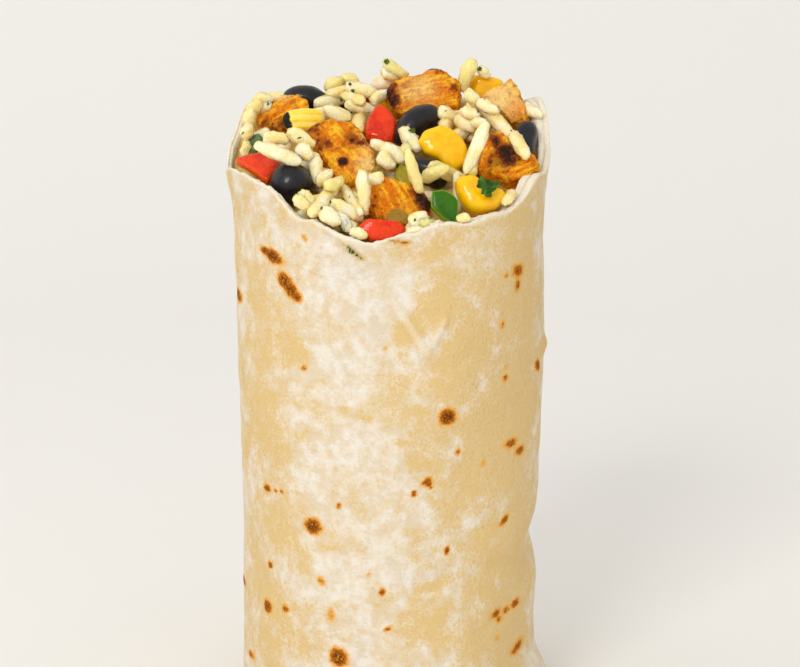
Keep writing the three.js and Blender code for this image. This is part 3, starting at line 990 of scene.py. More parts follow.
@dataclass(frozen=True)
class RollForm:
    """The rules of the roll's surfaces, which the wrap, the heap and the grains share."""

    radius: float = 30.4
    sheet: float = 1.5
    wall: float = 2.6
    lip_side: float = 112.0
    front_dip: float = 6.3
    notch_dip: float = 3.6
    back_rise: float = 9.0
    floor: float = 6.0
    corner: float = 6.0
    seam_bearing: float = 176.0
    seam_bow: float = -20.0
    seam_middle: float = 60.0
    heap_height: float = 113.2
    heap_slope: float = 0.37
    heap_crown: float = 1.2
    shoulders: tuple[tuple[float, float, float, float], ...] = ((-26, 12, 8.5, 6.4), (20, 12, 9, 2.4))

    def lip(self, bearing: Field) -> Field:
        """Height of the cut lip.

        Args:
            bearing: Degrees round the roll, from the front to the right.

        Returns:
            Height in millimetres.
        """
        from_front = turn_between(0, bearing)
        broad = ease(-56, -30, from_front) * (1 - ease(44, 72, from_front))
        dip = self.front_dip * broad + self.notch_dip * bell(from_front + 5, 17)
        rise = self.back_rise * ease(86, 112, np.abs(from_front)) + 4 * bell(from_front - 103, 13)
        a = np.radians(bearing)
        nibble = 0.3 * np.sin(9 * a + 0.6) + 0.25 * np.sin(16 * a + 2.1) + 0.2 * np.sin(22 * a)
        return self.lip_side - dip + rise + nibble

    def smooth(self, bearing: Field, z: Field) -> Field:
        """Radius of the roll without the swells of its side.

        Args:
            bearing: Degrees round the roll, from the front to the right.
            z: Height in millimetres.

        Returns:
            Radius in millimetres.
        """
        a = np.radians(bearing)
        waves = 0.28 * np.sin(3 * a + z / 15) + 0.15 * np.sin(2 * a + z / 24)
        waves = waves + 0.2 * np.sin(5 * a - z / 10 + 1)
        below = self.lip(bearing) - z
        left = 1.3 * bell(turn_between(-88, bearing), 34) * bell(below, 6)
        right = 0.9 * bell(turn_between(96, bearing), 26) * bell(below, 14)
        return self.radius + waves + left + right + 0.3 * bell(below, 5)

    def relief(self, bearing: Field, z: Field) -> Field:
        """The swells and hollows together."""
        return sum(swell.at(bearing, z) for swell in SWELLS)

    def outer(self, bearing: Field, z: Field, wound: Field) -> Field:
        """Outer radius; wound goes from 0 just past the sheet's free edge to 1 on top of it."""
        return self.smooth(bearing, z) + self.relief(bearing, z) + self.sheet * (wound - 0.5)

    def wound(self, bearing: Field, z: Field) -> Field:
        """How far round from the sheet's free edge a bearing is, from 0 to 1."""
        return ((bearing - self.seam(z)) % 360) / 360

    def cavity(self, bearing: Field, z: Field) -> Field:
        """Inner radius, thinner towards the lip and leaning in where the inner layer peels.

        Args:
            bearing: Degrees round the roll, from the front to the right.
            z: Height in millimetres.

        Returns:
            Radius in millimetres.
        """
        below = self.lip(bearing) - z
        wall = self.wall - (0.6 + 0.7 * bell(turn_between(-88, bearing), 34)) * bell(below, 9)
        peel = 1.3 * bell(turn_between(57, bearing), 17) * bell(below, 4.5)
        return self.smooth(bearing, z) + np.minimum(0, self.relief(bearing, z)) - wall - peel

    def seam(self, z: Field) -> Field:
        """Bearing of the sheet's free edge at a height."""
        return self.seam_bearing + self.seam_bow * ((z - self.seam_middle) / self.seam_middle) ** 2

    def heap(self, x: Field, y: Field) -> Field:
        """Height of the heap of filling without its grains.

        Args:
            x: How far to the right.
            y: How far to the back.

        Returns:
            Height in millimetres.
        """
        out = np.hypot(x, y) / (self.radius - self.wall)
        hills = sum(rise * bell(np.hypot(x - px, y - py), reach) for px, py, reach, rise in self.shoulders)
        back_edge = 2.6 * ease(0.8, 1, out) * ease(13, 21, y)
        lumps = 0.35 * np.sin(x / 2.9 + 0.7) * np.sin(y / 3.3 + 1.9) + 0.3 * np.sin((x + y) / 4.4)
        crown = self.heap_crown * (1 - out * out)
        return self.heap_height + self.heap_slope * y + crown + hills - back_edge + lumps

    def seen_at(self, pixel: Pixel) -> tuple[float, float]:
        """Bearing and height of the place of the side that shows at a pixel of the photograph.

        Args:
            pixel: Place in the photograph.

        Returns:
            The bearing in degrees and the height in millimetres.
        """
        eye, ray = VIEW.eye(), VIEW.ray(pixel)
        radius, bearing, z = self.radius, 0.0, 0.0
        for _ in range(4):
            a = ray.x**2 + ray.y**2
            b = 2 * (eye.x * ray.x + eye.y * ray.y)
            c = eye.x**2 + eye.y**2 - radius**2
            along = (-b - math.sqrt(max(0.0, b * b - 4 * a * c))) / (2 * a)
            place = eye + ray * along
            bearing, z = math.degrees(math.atan2(place.x, -place.y)), place.z
            at = (np.float64(bearing), np.float64(z))
            radius = float(self.outer(*at, self.wound(*at)))
        return bearing, z


ROLL = RollForm()


@dataclass(frozen=True)
class Mark:
    """A mark on the sheet, by the pixel where it shows, or by bearing and height.

    Its size is in millimetres, as seen from the front where it is given by a pixel.
    """

    place: Pixel
    across: float
    tall: float
    strength: float = 1.0
    tilt: float = 0.0
    seen: bool = True

    def at(self, bearing: Field, z: Field, wobble: Field) -> Field:
        """How strong it is at places of the side.

        Args:
            bearing: Degrees round the roll, from the front to the right.
            z: Height in millimetres.
            wobble: How much its edge is drawn in or out at each place.

        Returns:
            The strength, from 0 to the mark's own.
        """
        here, height = ROLL.seen_at(self.place) if self.seen else self.place
        narrowed = max(0.45, math.cos(math.radians(here))) if self.seen else 1.0
        aside = np.radians(turn_between(here, bearing)) * ROLL.radius * narrowed
        up = z - height
        t = math.radians(self.tilt)
        along = aside * math.cos(t) + up * math.sin(t)
        over = up * math.cos(t) - aside * math.sin(t)
        out = np.hypot(along / (self.across / 2), over / (self.tall / 2)) + 0.17 * wobble
        return self.strength * (1 - ease(0.1, 1.3, out))


# Toasted spots where the photograph shows them, and painted shade in the slit under the torn flap of the lip
# (the last row). Each row: place, across, tall, strength and tilt, which turns a mark anticlockwise.
TOAST_MARKS = tuple(
    Mark(*row)
    for row in (
        ((274, 257), 4.4, 3.0, 1.0, -28), ((266, 251), 3.0, 2.0, 0.9, -20),
        ((285, 281), 4.2, 3.2, 1.0, -58), ((291, 290), 3.8, 3.0, 0.95, -50),
        ((297, 297), 3.0, 2.6, 0.85, -40), ((239, 295), 3.6, 3.2, 0.9), ((305, 238), 2.4, 1.3, 0.45, -50),
        ((304, 368), 1.5, 1.5, 0.7), ((385, 349), 1.3, 1.4, 0.45), ((447.5, 417), 3.9, 4.2, 1.0),
        ((458, 452), 1.4, 1.8, 0.7), ((518, 271), 3.2, 3.4, 0.8, 20), ((518, 285), 1.6, 3.2, 0.65),
        ((506, 275), 1.4, 1.3, 0.6), ((503, 325), 1.2, 2.2, 0.6), ((537, 365), 2.0, 3.0, 0.8),
        ((506, 378), 1.8, 2.0, 0.65, -40), ((506, 368), 1.2, 1.0, 0.5), ((511, 443), 3.2, 2.4, 0.75),
        ((520, 450), 2.4, 2.6, 0.75), ((267, 488), 1.9, 1.8, 0.95), ((276, 491), 1.1, 1.1, 0.6),
        ((282, 491), 1.2, 1.0, 0.7), ((313, 526), 3.9, 4.2, 1.0), ((338, 506), 1.4, 1.4, 0.85),
        ((270, 565), 1.5, 1.7, 0.85), ((244, 580), 2.6, 2.8, 1.0), ((268, 606), 2.3, 3.4, 0.95, 8),
        ((285, 609), 2.2, 2.0, 0.75), ((322, 581), 3.0, 2.0, 0.5, -50), ((331, 614), 1.8, 4.0, 0.5),
        ((339, 657), 4.9, 4.6, 1.0), ((382, 592), 1.7, 1.9, 0.9), ((369, 575), 1.1, 1.1, 0.5),
        ((388, 629), 2.6, 1.3, 0.75, 25), ((251, 655), 2.4, 2.0, 0.7), ((483, 463), 1.1, 1.4, 0.6, -20),
        ((427, 482), 3.0, 1.6, 0.8, 25), ((430, 486), 2.6, 1.2, 0.8, -45), ((414, 494), 1.5, 1.6, 0.8, 40),
        ((504, 520), 3.0, 1.7, 0.8, 52), ((447, 551), 1.4, 2.2, 0.85, -18),
        ((497, 614), 3.0, 2.6, 0.72, 10), ((507, 610), 2.6, 2.0, 0.7, 20), ((516, 603), 2.6, 2.2, 0.8, 40),
        ((500, 620), 2.2, 1.4, 0.7), ((518, 646), 4.4, 2.8, 0.7, 35), ((497, 638), 1.6, 1.6, 0.4),
        # Painted shade: a dark line in the slit under the torn flap of the lip.
        ((404, 243.5), 6.6, 0.6, 0.55, -9),
    )
)

# Warm yellow patches, broader and soft, in rows like those above. The one at (408, 332) is painted shade on
# the left flank of a ridge.
WARM_MARKS = tuple(
    Mark(*row)
    for row in (
        ((546, 344), 5.0, 4.6, 2.6), ((349, 250), 8.5, 1.8, 1.8, -33), ((337, 300), 6.0, 7.0, 0.6),
        ((296, 352), 9.0, 6.0, 0.9, -30), ((353, 414), 8.0, 3.0, 1.1, -12), ((258, 398), 5.0, 4.0, 1.0, 30),
        # The patch at (408, 332) is painted shade beside the ridge.
        ((408, 332), 5.0, 8.0, 2.2, -55), ((440, 308), 10, 9, 1.5, 10), ((468, 345), 13, 8, 1.2, 30),
        ((460, 380), 18, 14, 0.8, -20), ((470, 440), 22, 18, 0.6), ((420, 430), 12, 16, 0.5),
        ((455, 480), 20, 16, 0.6, 20), ((440, 583), 14, 3.4, 1.3, 14), ((395, 598), 10, 3.0, 0.8, 20),
        ((262, 300), 9, 20, 0.5), ((255, 380), 10, 22, 0.5), ((262, 450), 12, 14, 0.6),
        ((280, 540), 16, 14, 0.6), ((300, 640), 10, 12, 0.8, -50), ((270, 630), 12, 22, 0.9),
        ((262, 590), 9, 14, 0.7), ((440, 640), 24, 16, 0.5), ((480, 600), 26, 20, 0.4),
        ((430, 250), 9, 5, 0.7, 20), ((500, 300), 20, 24, 0.45), ((510, 420), 20, 24, 0.45),
        ((515, 560), 20, 24, 0.4),
    )
)


@dataclass(frozen=True)
class Crease:
    """A fold line on the side between two pixels of the photograph."""

    start: Pixel
    end: Pixel
    width: float
    depth: float
    lap: float = 0.0

    def at(self, bearing: Field, z: Field) -> Field:
        """Its rise at places of the side: a groove, raised by the lap to the left of its way.

        Args:
            bearing: Degrees round the roll, from the front to the right.
            z: Height in millimetres.

        Returns:
            The rise in millimetres.
        """
        (b1, z1), (b2, z2) = ROLL.seen_at(self.start), ROLL.seen_at(self.end)
        run = np.array([math.radians(b2 - b1) * ROLL.radius, z2 - z1])
        length = float(np.hypot(*run))
        run /= length
        x = np.radians(turn_between(b1, bearing)) * ROLL.radius
        up = z - z1
        along = (x * run[0] + up * run[1]) / length
        beside = up * run[0] - x * run[1]
        fade = ease(-0.12, 0.12, along) * (1 - ease(0.8, 1.12, along))
        raised = self.lap * ease(-0.25, 0.15, -beside) * bell(np.minimum(0, beside), 5.0)
        return fade * (raised - self.depth * bell(beside, self.width))


# Each row: start, end, width, depth, which is less than 0 for a ridge, and lap.
CREASES = tuple(
    Crease(*row)
    for row in (
        ((322, 232), (366, 263), 0.55, 0.9, 1.2), ((389, 241.5), (418, 246), 0.4, 1.2),
        ((392, 300), (432, 360), 1.0, -0.9), ((446, 316), (431, 347), 0.8, -0.7),
        ((370, 300), (362, 312), 1.0, 0.15), ((452, 368), (478, 350), 1.2, 0.2),
        ((540, 548), (470, 570), 1.6, 0.4), ((534, 500), (486, 512), 1.4, 0.2),
        ((400, 600), (450, 580), 1.2, 0.2), ((520, 585), (470, 640), 1.8, 0.25),
    )
)


@dataclass
class Tortilla:
    """The wrap: a floury sheet wound a little more than once round, cut at the top and folded in below."""

    columns: int = 420
    side_rows: int = 150
    foot_rings: int = 12
    edge_rounding: float = 0.35
    flap_radius: float = 32.0
    flap_middle_y: float = -19.0
    flap_step: float = 1.2
    stray_marks: int = 34
    stray_patches: int = 14

    def bearings(self, z_nominal: Field) -> tuple[Field, Field]:
        """Bearing and winding of each column, whose ring starts at the sheet's free edge.

        Args:
            z_nominal: Height of the ring, one value a column.

        Returns:
            Bearing and winding, one value a column each.
        """
        wound = np.linspace(0, 1, self.columns)
        return ROLL.seam(z_nominal) + 360 * wound, wound

    def ragged_lip(self, bearing: Field) -> Field:
        """Height of the lip with the fine nibbles of the torn edge."""
        circle = on_bearing(bearing, ROLL.radius, 0.0 * bearing)
        return ROLL.lip(bearing) + 0.45 * fractal(circle, 3.2, 3, 4) + 0.18 * fractal(circle, 0.9, 2, 9)

    def outside(self, bearing: Field, z: Field, wound: Field) -> Field:
        """Outer radius with creases and the shallow unevenness of the sheet.

        Args:
            bearing: Degrees round the roll, from the front to the right.
            z: Height in millimetres.
            wound: How far along the sheet, with 1 at its free edge.

        Returns:
            Radius in millimetres.
        """
        radius = ROLL.outer(bearing, z, wound)
        radius -= ROLL.sheet * 0.75 * ease(0.9935, 1.0, wound) ** 2
        place = on_bearing(bearing, radius, z)
        radius = radius + 0.3 * fractal(place, 16, 2, 1) + 0.13 * fractal(place, 4.5, 3, 2)
        return radius + sum(crease.at(bearing, z) for crease in CREASES)

    def foot_height(self, x: Field, y: Field) -> Field:
        """Height of the underside: one flap over the other, whose edge is an arc."""
        out = np.hypot(x, y - self.flap_middle_y)
        return self.flap_step * ease(self.flap_radius - 0.4, self.flap_radius + 0.3, out)

    def rings(self) -> tuple[list[Field], int]:
        """All rings of points, from the middle of the foot up the outside and down the inside.

        Returns:
            The rings, and how many of them belong to the outside.
        """
        rings: list[Field] = []
        level = np.zeros(self.columns)
        lip_seam = np.full(self.columns, ROLL.lip_side)
        foot_bearing, foot_wound = self.bearings(level)
        foot = ROLL.outer(foot_bearing, level, foot_wound) - ROLL.corner
        for share in np.linspace(0.06, 1, self.foot_rings):
            ring = on_bearing(foot_bearing, foot * share, level)
            ring[:, 2] = self.foot_height(ring[:, 0], ring[:, 1])
            rings.append(ring)
        for angle in np.radians(np.linspace(0, 90, 9)[1:]):
            z = level + ROLL.corner * (1 - math.cos(angle))
            bearing, wound = self.bearings(z)
            radius = self.outside(bearing, z, wound) - ROLL.corner * (1 - math.sin(angle))
            ring = on_bearing(bearing, radius, z)
            ring[:, 2] = np.maximum(z, self.foot_height(ring[:, 0], ring[:, 1]))
            rings.append(ring)
        bearing, wound = self.bearings(lip_seam)
        lip = self.ragged_lip(bearing)
        for share in np.linspace(0, 1, self.side_rows)[1:]:
            z = ROLL.corner + (lip - 0.6 - ROLL.corner) * share
            at, wound = self.bearings(z)
            z = ROLL.corner + (np.interp(at % 360, *self.periodic(bearing, lip)) - 0.6 - ROLL.corner) * share
            rings.append(on_bearing(at, self.outside(at, z, wound), z))
        outer_rings = len(rings)
        at, wound = self.bearings(lip)
        lip = np.interp(at % 360, *self.periodic(bearing, lip))
        circle = on_bearing(at, ROLL.radius, 0.0 * at)
        inner_lip = lip - 0.3 + 0.5 * fractal(circle, 5, 3, 6)
        parted = 0.2 + 0.8 * bell(turn_between(57, at), 45)
        groove = 0.05 + 2.7 * bell(turn_between(57, at), 19)
        edge_out, edge_in = self.outside(at, lip, wound), ROLL.cavity(at, lip)
        for share in np.concatenate([np.linspace(0.04, 0.46, 6), [0.5], np.linspace(0.54, 0.96, 6)]):
            own = lip if share < 0.5 else inner_lip
            rounding = 1 - math.sqrt(max(0.0, 1 - abs(4 * (share % 0.5) - 1) ** 3))
            whole = 1 - math.sqrt(max(0.0, 1 - abs(2 * share - 1) ** 3))
            rounding = whole + (rounding - whole) * parted
            drop = self.edge_rounding * rounding + (groove if share == 0.5 else 0.0)
            place = on_bearing(at, edge_out + (edge_in - edge_out) * share, lip)
            rings.append(place)
            rings[-1][:, 2] = own - drop + 0.16 * fractal(place, 0.8, 2, 7)
        for below in (1.2, 2.2, 3.6, 5.2, 7.5, 11, 15, 20):
            z = inner_lip - below
            rings.append(on_bearing(at, ROLL.cavity(at, z) + 0.15 * fractal(circle, 2, 2, below), z))
        for height in (80.0, 64.0, 50.0, 36.5, 22.0, ROLL.floor):
            z = level + height
            at, wound = self.bearings(z)
            rings.append(on_bearing(at, ROLL.cavity(at, z), z))
        return rings, outer_rings

    @staticmethod
    def periodic(bearing: Field, values: Field) -> tuple[Field, Field]:
        """Bearings from below 0 to above 360 with their values, for reading a value at any bearing.

        Args:
            bearing: Bearings in degrees.
            values: A value for each.

        Returns:
            The sorted bearings, with one more at each end, and their values.
        """
        order = np.argsort(bearing % 360)
        b, v = (bearing % 360)[order], values[order]
        return np.concatenate([[b[-1] - 360], b, [b[0] + 360]]), np.concatenate([[v[-1]], v, [v[0]]])

    def strays(self) -> list[Mark]:
        """Marks on the sides that the photograph doesn't show.

        Returns:
            The toasted spots, then the warm patches.
        """
        rng = np.random.default_rng(23)
        marks = []
        for _ in range(self.stray_marks):
            size = 1.2 + 3.6 * rng.random() ** 2
            place = (float(rng.uniform(94, 266)), float(rng.uniform(8, 112)))
            strength = float(rng.uniform(0.6, 1.0))
            tall = size * rng.uniform(0.7, 1.3)
            marks.append(Mark(place, size, tall, strength, rng.uniform(-60, 60), False))
        for _ in range(self.stray_patches):
            place = (float(rng.uniform(80, 280)), float(rng.uniform(8, 112)))
            across, tall = rng.uniform(8, 22), rng.uniform(6, 18)
            marks.append(Mark(place, across, tall, 0.6, rng.uniform(-60, 60), False))
        return marks

    def build(self) -> Thing:
        """Builds the wrap and its marks.

        Returns:
            The wrap.
        """
        rings, outer_rings = self.rings()
        points = np.concatenate(rings)
        bearing = np.degrees(np.arctan2(points[:, 0], -points[:, 1]))
        z = points[:, 2]
        radius = np.hypot(points[:, 0], points[:, 1])
        wobble = fractal(points, 2.2, 2, 3) + 0.5 * fractal(points, 0.7, 2, 8)
        strays = self.strays()
        toast = np.zeros(len(points))
        for mark in (*TOAST_MARKS, *strays[: self.stray_marks]):
            toast = np.maximum(toast, mark.at(bearing, z, wobble))
        warm = np.zeros(len(points))
        for mark in (*WARM_MARKS, *strays[self.stray_marks :]):
            warm = np.maximum(warm, mark.at(bearing, z, wobble))
        # Warmth by bearing: a warm band on the right front, and warmth everywhere except round bearing -12,
        # which faces the key lamp. This second term is painted shade on the sides turned from the lamp.
        from_front = turn_between(0, bearing)
        warm += 0.75 * ease(24, 56, from_front) * (1 - 1.3 * ease(54, 80, from_front))
        warm += 0.7 * (1 - bell(turn_between(-12, bearing), 24))
        outside = np.repeat(np.arange(len(rings)) < outer_rings, self.columns)
        wound = np.tile(np.linspace(0, 1, self.columns), len(rings))
        near_edge = np.maximum(ease(0.9955, 0.9985, wound), ease(0.8, 0.0, ROLL.lip(bearing) - z))
        # Raised ridges get a pale crumb-coloured line. This is a painted highlight.
        ridge = sum(np.maximum(0, crease.at(bearing, z)) for crease in CREASES if crease.depth < 0)
        near_edge = np.maximum(near_edge, 0.45 * ease(0.35, 0.8, ridge))
        cut = np.where(outside, 0.75 * near_edge, 1.0)
        toast = np.where(outside, toast, 0.0)
        outward = np.stack([points[:, 0] / radius, points[:, 1] / radius, 0 * z], axis=-1)
        blister = np.where(z > 3, 0.16 * ease(0.25, 0.9, toast), 0)
        points = points + outward * blister[:, None]
        count = len(points)
        points = np.concatenate([points, [[3, -4, 0], [0, 0, ROLL.floor]]])
        marks = {
            "toast": np.append(toast, [0, 0]),
            "warm": np.append(warm, [0, 0]),
            "cut": np.append(cut, [0, 1]),
        }
        faces = ring_faces(len(rings), self.columns, count, count + 1)
        piece = make_object("tortilla_wrap", points, faces, TortillaFinish().material(), marks)
        declare(piece, ["tortilla"])
        return piece


# Forms of the toppings


def ball(rings: int, count: int) -> tuple[Field, list[Face]]:
    """A sphere of radius 1 with its poles on Z.

    Args:
        rings: Rings between the poles.
        count: Points in each ring.

    Returns:
        Points, the two poles last, and faces.
    """
    lat = np.linspace(-math.pi / 2, math.pi / 2, rings + 2)[1:-1]
    lon = np.linspace(0, 2 * math.pi, count, endpoint=False)
    la, lo = np.meshgrid(lat, lon, indexing="ij")
    rows = np.stack([np.cos(la) * np.cos(lo), np.cos(la) * np.sin(lo), np.sin(la)], axis=-1)
    faces = ring_faces(rings, count, rings * count, rings * count + 1)
    return np.concatenate([rows.reshape(-1, 3), [[0, 0, -1], [0, 0, 1]]]), faces


def rounded_outline(corners: Sequence[Pixel], count: int, softness: int) -> Field:
    """A closed line of evenly spaced points round some corners.

    Args:
        corners: The corners in order.
        count: How many points the line gets.
        softness: How often neighbours are averaged, which rounds the corners.

    Returns:
        Rows of two coordinates.
    """
    ring = np.array([*corners, corners[0]], float)
    lengths = np.concatenate([[0], np.cumsum(np.hypot(*np.diff(ring, axis=0).T))])
    at = np.linspace(0, lengths[-1], count, endpoint=False)
    line = np.stack([np.interp(at, lengths, ring[:, k]) for k in (0, 1)], axis=-1)
    size = np.ptp(line, axis=0)
    for _ in range(softness):
        line = 0.25 * np.roll(line, 1, 0) + 0.5 * line + 0.25 * np.roll(line, -1, 0)
    return line * (size / np.ptp(line, axis=0))


def pillow(
    outline: Field, depth: float, squareness: float, rings: int = 26
) -> tuple[Field, list[Face], Field]:
    """A closed form whose outline is seen along Y.

    Args:
        outline: Rows of X and Z.
        depth: Thickness along Y.
        squareness: 2 for a lens, higher for flat faces with square edges.
        rings: How many rings it has.

    Returns:
        Points, faces, and for each point how far it belongs to the side, from 0 to 1.
    """
    middle = outline.mean(axis=0)
    arms = outline - middle
    reach = float(np.hypot(*arms.T).mean())
    t = np.linspace(-math.pi / 2, math.pi / 2, 2001)
    share = np.abs(np.cos(t)) ** (2 / squareness)
    height = np.sign(np.sin(t)) * np.abs(np.sin(t)) ** (2 / squareness) * depth / 2
    way = np.concatenate([[0], np.cumsum(np.hypot(np.diff(share) * reach, np.diff(height)))])
    at = np.linspace(0, way[-1], rings + 2)[1:-1]
    shares, heights = np.interp(at, way, share), np.interp(at, way, height)
    points = []
    for s, h in zip(shares, heights):
        ring = middle + arms * s
        points.append(np.stack([ring[:, 0], np.full(len(ring), h), ring[:, 1]], axis=-1))
    side = np.repeat(ease(0.9, 0.99, shares), len(outline))
    count = len(outline) * rings
    ends = [[middle[0], -depth / 2, middle[1]], [middle[0], depth / 2, middle[1]]]
    cloud = np.concatenate([*points, ends])
    area = np.sum(outline[:, 0] * np.roll(outline[:, 1], -1) - outline[:, 1] * np.roll(outline[:, 0], -1))
    faces = ring_faces(rings, len(outline), count, count + 1)
    if area > 0:
        faces = [tuple(reversed(f)) for f in faces]
    return cloud, faces, np.append(side, [0, 0])


@dataclass
class Topping:
    """A piece of the filling, made in its own frame facing the front and then placed."""

    name: str
    middle: Point
    lean: float
    finish: Optional[FleshFinish] = None
    slot: Slot = Slot.CHICKEN
    turn: float = 0.0
    twist: float = 0.0

    def placing(self) -> Matrix:
        """The turn anticlockwise seen from the front, then the lean back, then the twist round Z.

        Returns:
            The three turns as one.
        """
        turns = Euler((-math.radians(self.lean), -math.radians(self.turn), math.radians(self.twist)), "XYZ")
        by_turn = Matrix.Rotation(turns.y, 3, "Y")
        by_lean = Matrix.Rotation(turns.x, 3, "X")
        by_twist = Matrix.Rotation(turns.z, 3, "Z")
        return by_twist @ by_lean @ by_turn

    def placed(self, points: Field) -> Field:
        """Points of the piece's own frame at their place in the burrito."""
        return points @ np.array(self.placing()).T + np.array(self.middle)

    def form(self) -> tuple[Field, list[Face], dict[str, Field]]:
        """Points, faces and marks in the piece's own frame."""
        raise NotImplementedError

    def material(self) -> bpy.types.Material:
        """The finish, built once and shared."""
        made = bpy.data.materials.get(self.finish.name)
        return made or self.finish.material()

    def build(self) -> Thing:
        """Builds and places the piece.

        Returns:
            The piece.
        """
        points, faces, marks = self.form()
        piece = make_object(self.name + "_piece", self.placed(points), faces, self.material(), marks)
        declare(piece, [self.name])
        return piece


@dataclass
class Bean(Topping):
    """A cooked black bean: long, with the bend and dent of a kidney, its skin a little wrinkled."""

    size: Point = (9.6, 6.0, 6.0)
    wrinkle: float = 0.12
    finish: Optional[FleshFinish] = BLACK_BEAN
    slot: Slot = Slot.BEAN

    def form(self) -> tuple[Field, list[Face], dict[str, Field]]:
        """A sphere stretched along X, bent and dented below.

        Returns:
            Its points in millimetres, its faces and its marks.
        """
        upright, faces = ball(40, 56)
        sphere = np.roll(upright, 1, axis=1)
        x, y, z = sphere.T
        dent = np.where(z < 0, 1 - 0.16 * bell(x, 0.45), 1)
        curl = -0.14 * (x * x - 0.35)
        points = np.stack([x, y, z * dent + curl], axis=-1) * np.array(self.size) / 2
        rough = 0.7 * fractal(points, 3.2, 2, self.middle[0]) + 0.3 * fractal(points, 1.1, 2, self.lean)
        points = points + sphere * (self.wrinkle * rough)[:, None]
        seam = 0.35 * bell(x, 0.22) * bell(y, 0.16) * (z < 0)
        return points, faces, {"side": seam}


@dataclass
class Kernel(Topping):
    """A kernel of sweetcorn seen on its tip: a broad crown with a dimple, narrowing to the tip below."""

    size: Point = (7.0, 6.0, 7.0)
    finish: Optional[FleshFinish] = SWEETCORN
    slot: Slot = Slot.CORN

    def form(self) -> tuple[Field, list[Face], dict[str, Field]]:
        """A squared sphere, slim below, with the dimple in its crown.

        Returns:
            Its points in millimetres, its faces and its marks.
        """
        sphere, faces = ball(36, 48)
        x, y, z = sphere.T
        across = np.hypot(x, y)
        cubed = (np.abs(x) ** 3 + np.abs(y) ** 3) ** (1 / 3)
        square = np.where(across > 1e-6, across / np.maximum(cubed, 1e-6), 1)
        swell = square * (0.66 + 0.34 * ease(-1.1, 0.5, z)) * (1 + 0.24 * np.clip(z, 0, 1))
        top = np.sign(z) * np.abs(z) ** 0.8 - np.where(z > 0, 0.3 * bell(across, 0.45), 0)
        points = np.stack([x * swell, y * swell, top], axis=-1) * np.array(self.size) / 2
        points = points + sphere * (0.1 * fractal(points, 2.6, 2, self.middle[1]))[:, None]
        return points, faces, {"side": 0.8 * ease(-0.55, -0.95, z)}


@dataclass(frozen=True)
class Blob:
    """A round mark in a piece's own frame: X, Z, radius and strength, and the depth that it lies at."""

    x: float
    z: float
    radius: float
    strength: float = 1.0
    y: float = -3.0

    def at(self, points: Field) -> Field:
        """How strong it is at points."""
        away = np.linalg.norm(points - np.array([self.x, self.y, self.z]), axis=1)
        return self.strength * bell(away, self.radius)


def blobs_at(blobs: Iterable[Blob], points: Field) -> Field:
    """How strong some marks are together at points."""
    return sum((blob.at(points) for blob in blobs), np.zeros(len(points)))


@dataclass
class CutPiece(Topping):
    """A diced piece whose outline the photograph shows, such as pepper or onion."""

    corners: Sequence[Pixel] = ()
    depth: float = 3.0
    squareness: float = 5.0
    softness: int = 3
    bow: float = 0.25
    rough: float = 0.08
    flesh_side: float = 1.0
    dents: tuple[Blob, ...] = ()
    char: tuple[Blob, ...] = ()
    ridges: float = 0.0

    def form(self) -> tuple[Field, list[Face], dict[str, Field]]:
        """The pillow of the outline, bowed, dented and a little uneven.

        Returns:
            Its points in millimetres, its faces and its marks.
        """
        outline = rounded_outline(self.corners, 72, self.softness)
        points, faces, side = pillow(outline, self.depth, self.squareness)
        reach = np.abs(outline).max()
        seed = abs(self.middle[0]) + abs(self.middle[1])
        points[:, 1] += self.bow * ((points[:, 0] / reach) ** 2 - 0.4)
        points[:, 1] += self.rough * fractal(points, 2.2, 2, seed)
        points[:, 0] += self.rough * fractal(points, 1.4, 2, seed + 5)
        points[:, 2] += self.rough * fractal(points, 1.4, 2, seed + 9)
        for dent in self.dents:
            points[:, 1] += dent.at(points)
        points[:, 1] += self.ridges * np.cos(points[:, 2] * 4.2)
        char = blobs_at(self.char, points)
        crests = self.ridges * 3 * ease(0.2, 1, np.cos(points[:, 2] * 4.2))
        return points, faces, {"side": np.clip(side * self.flesh_side + crests, 0, 1), "char": char}


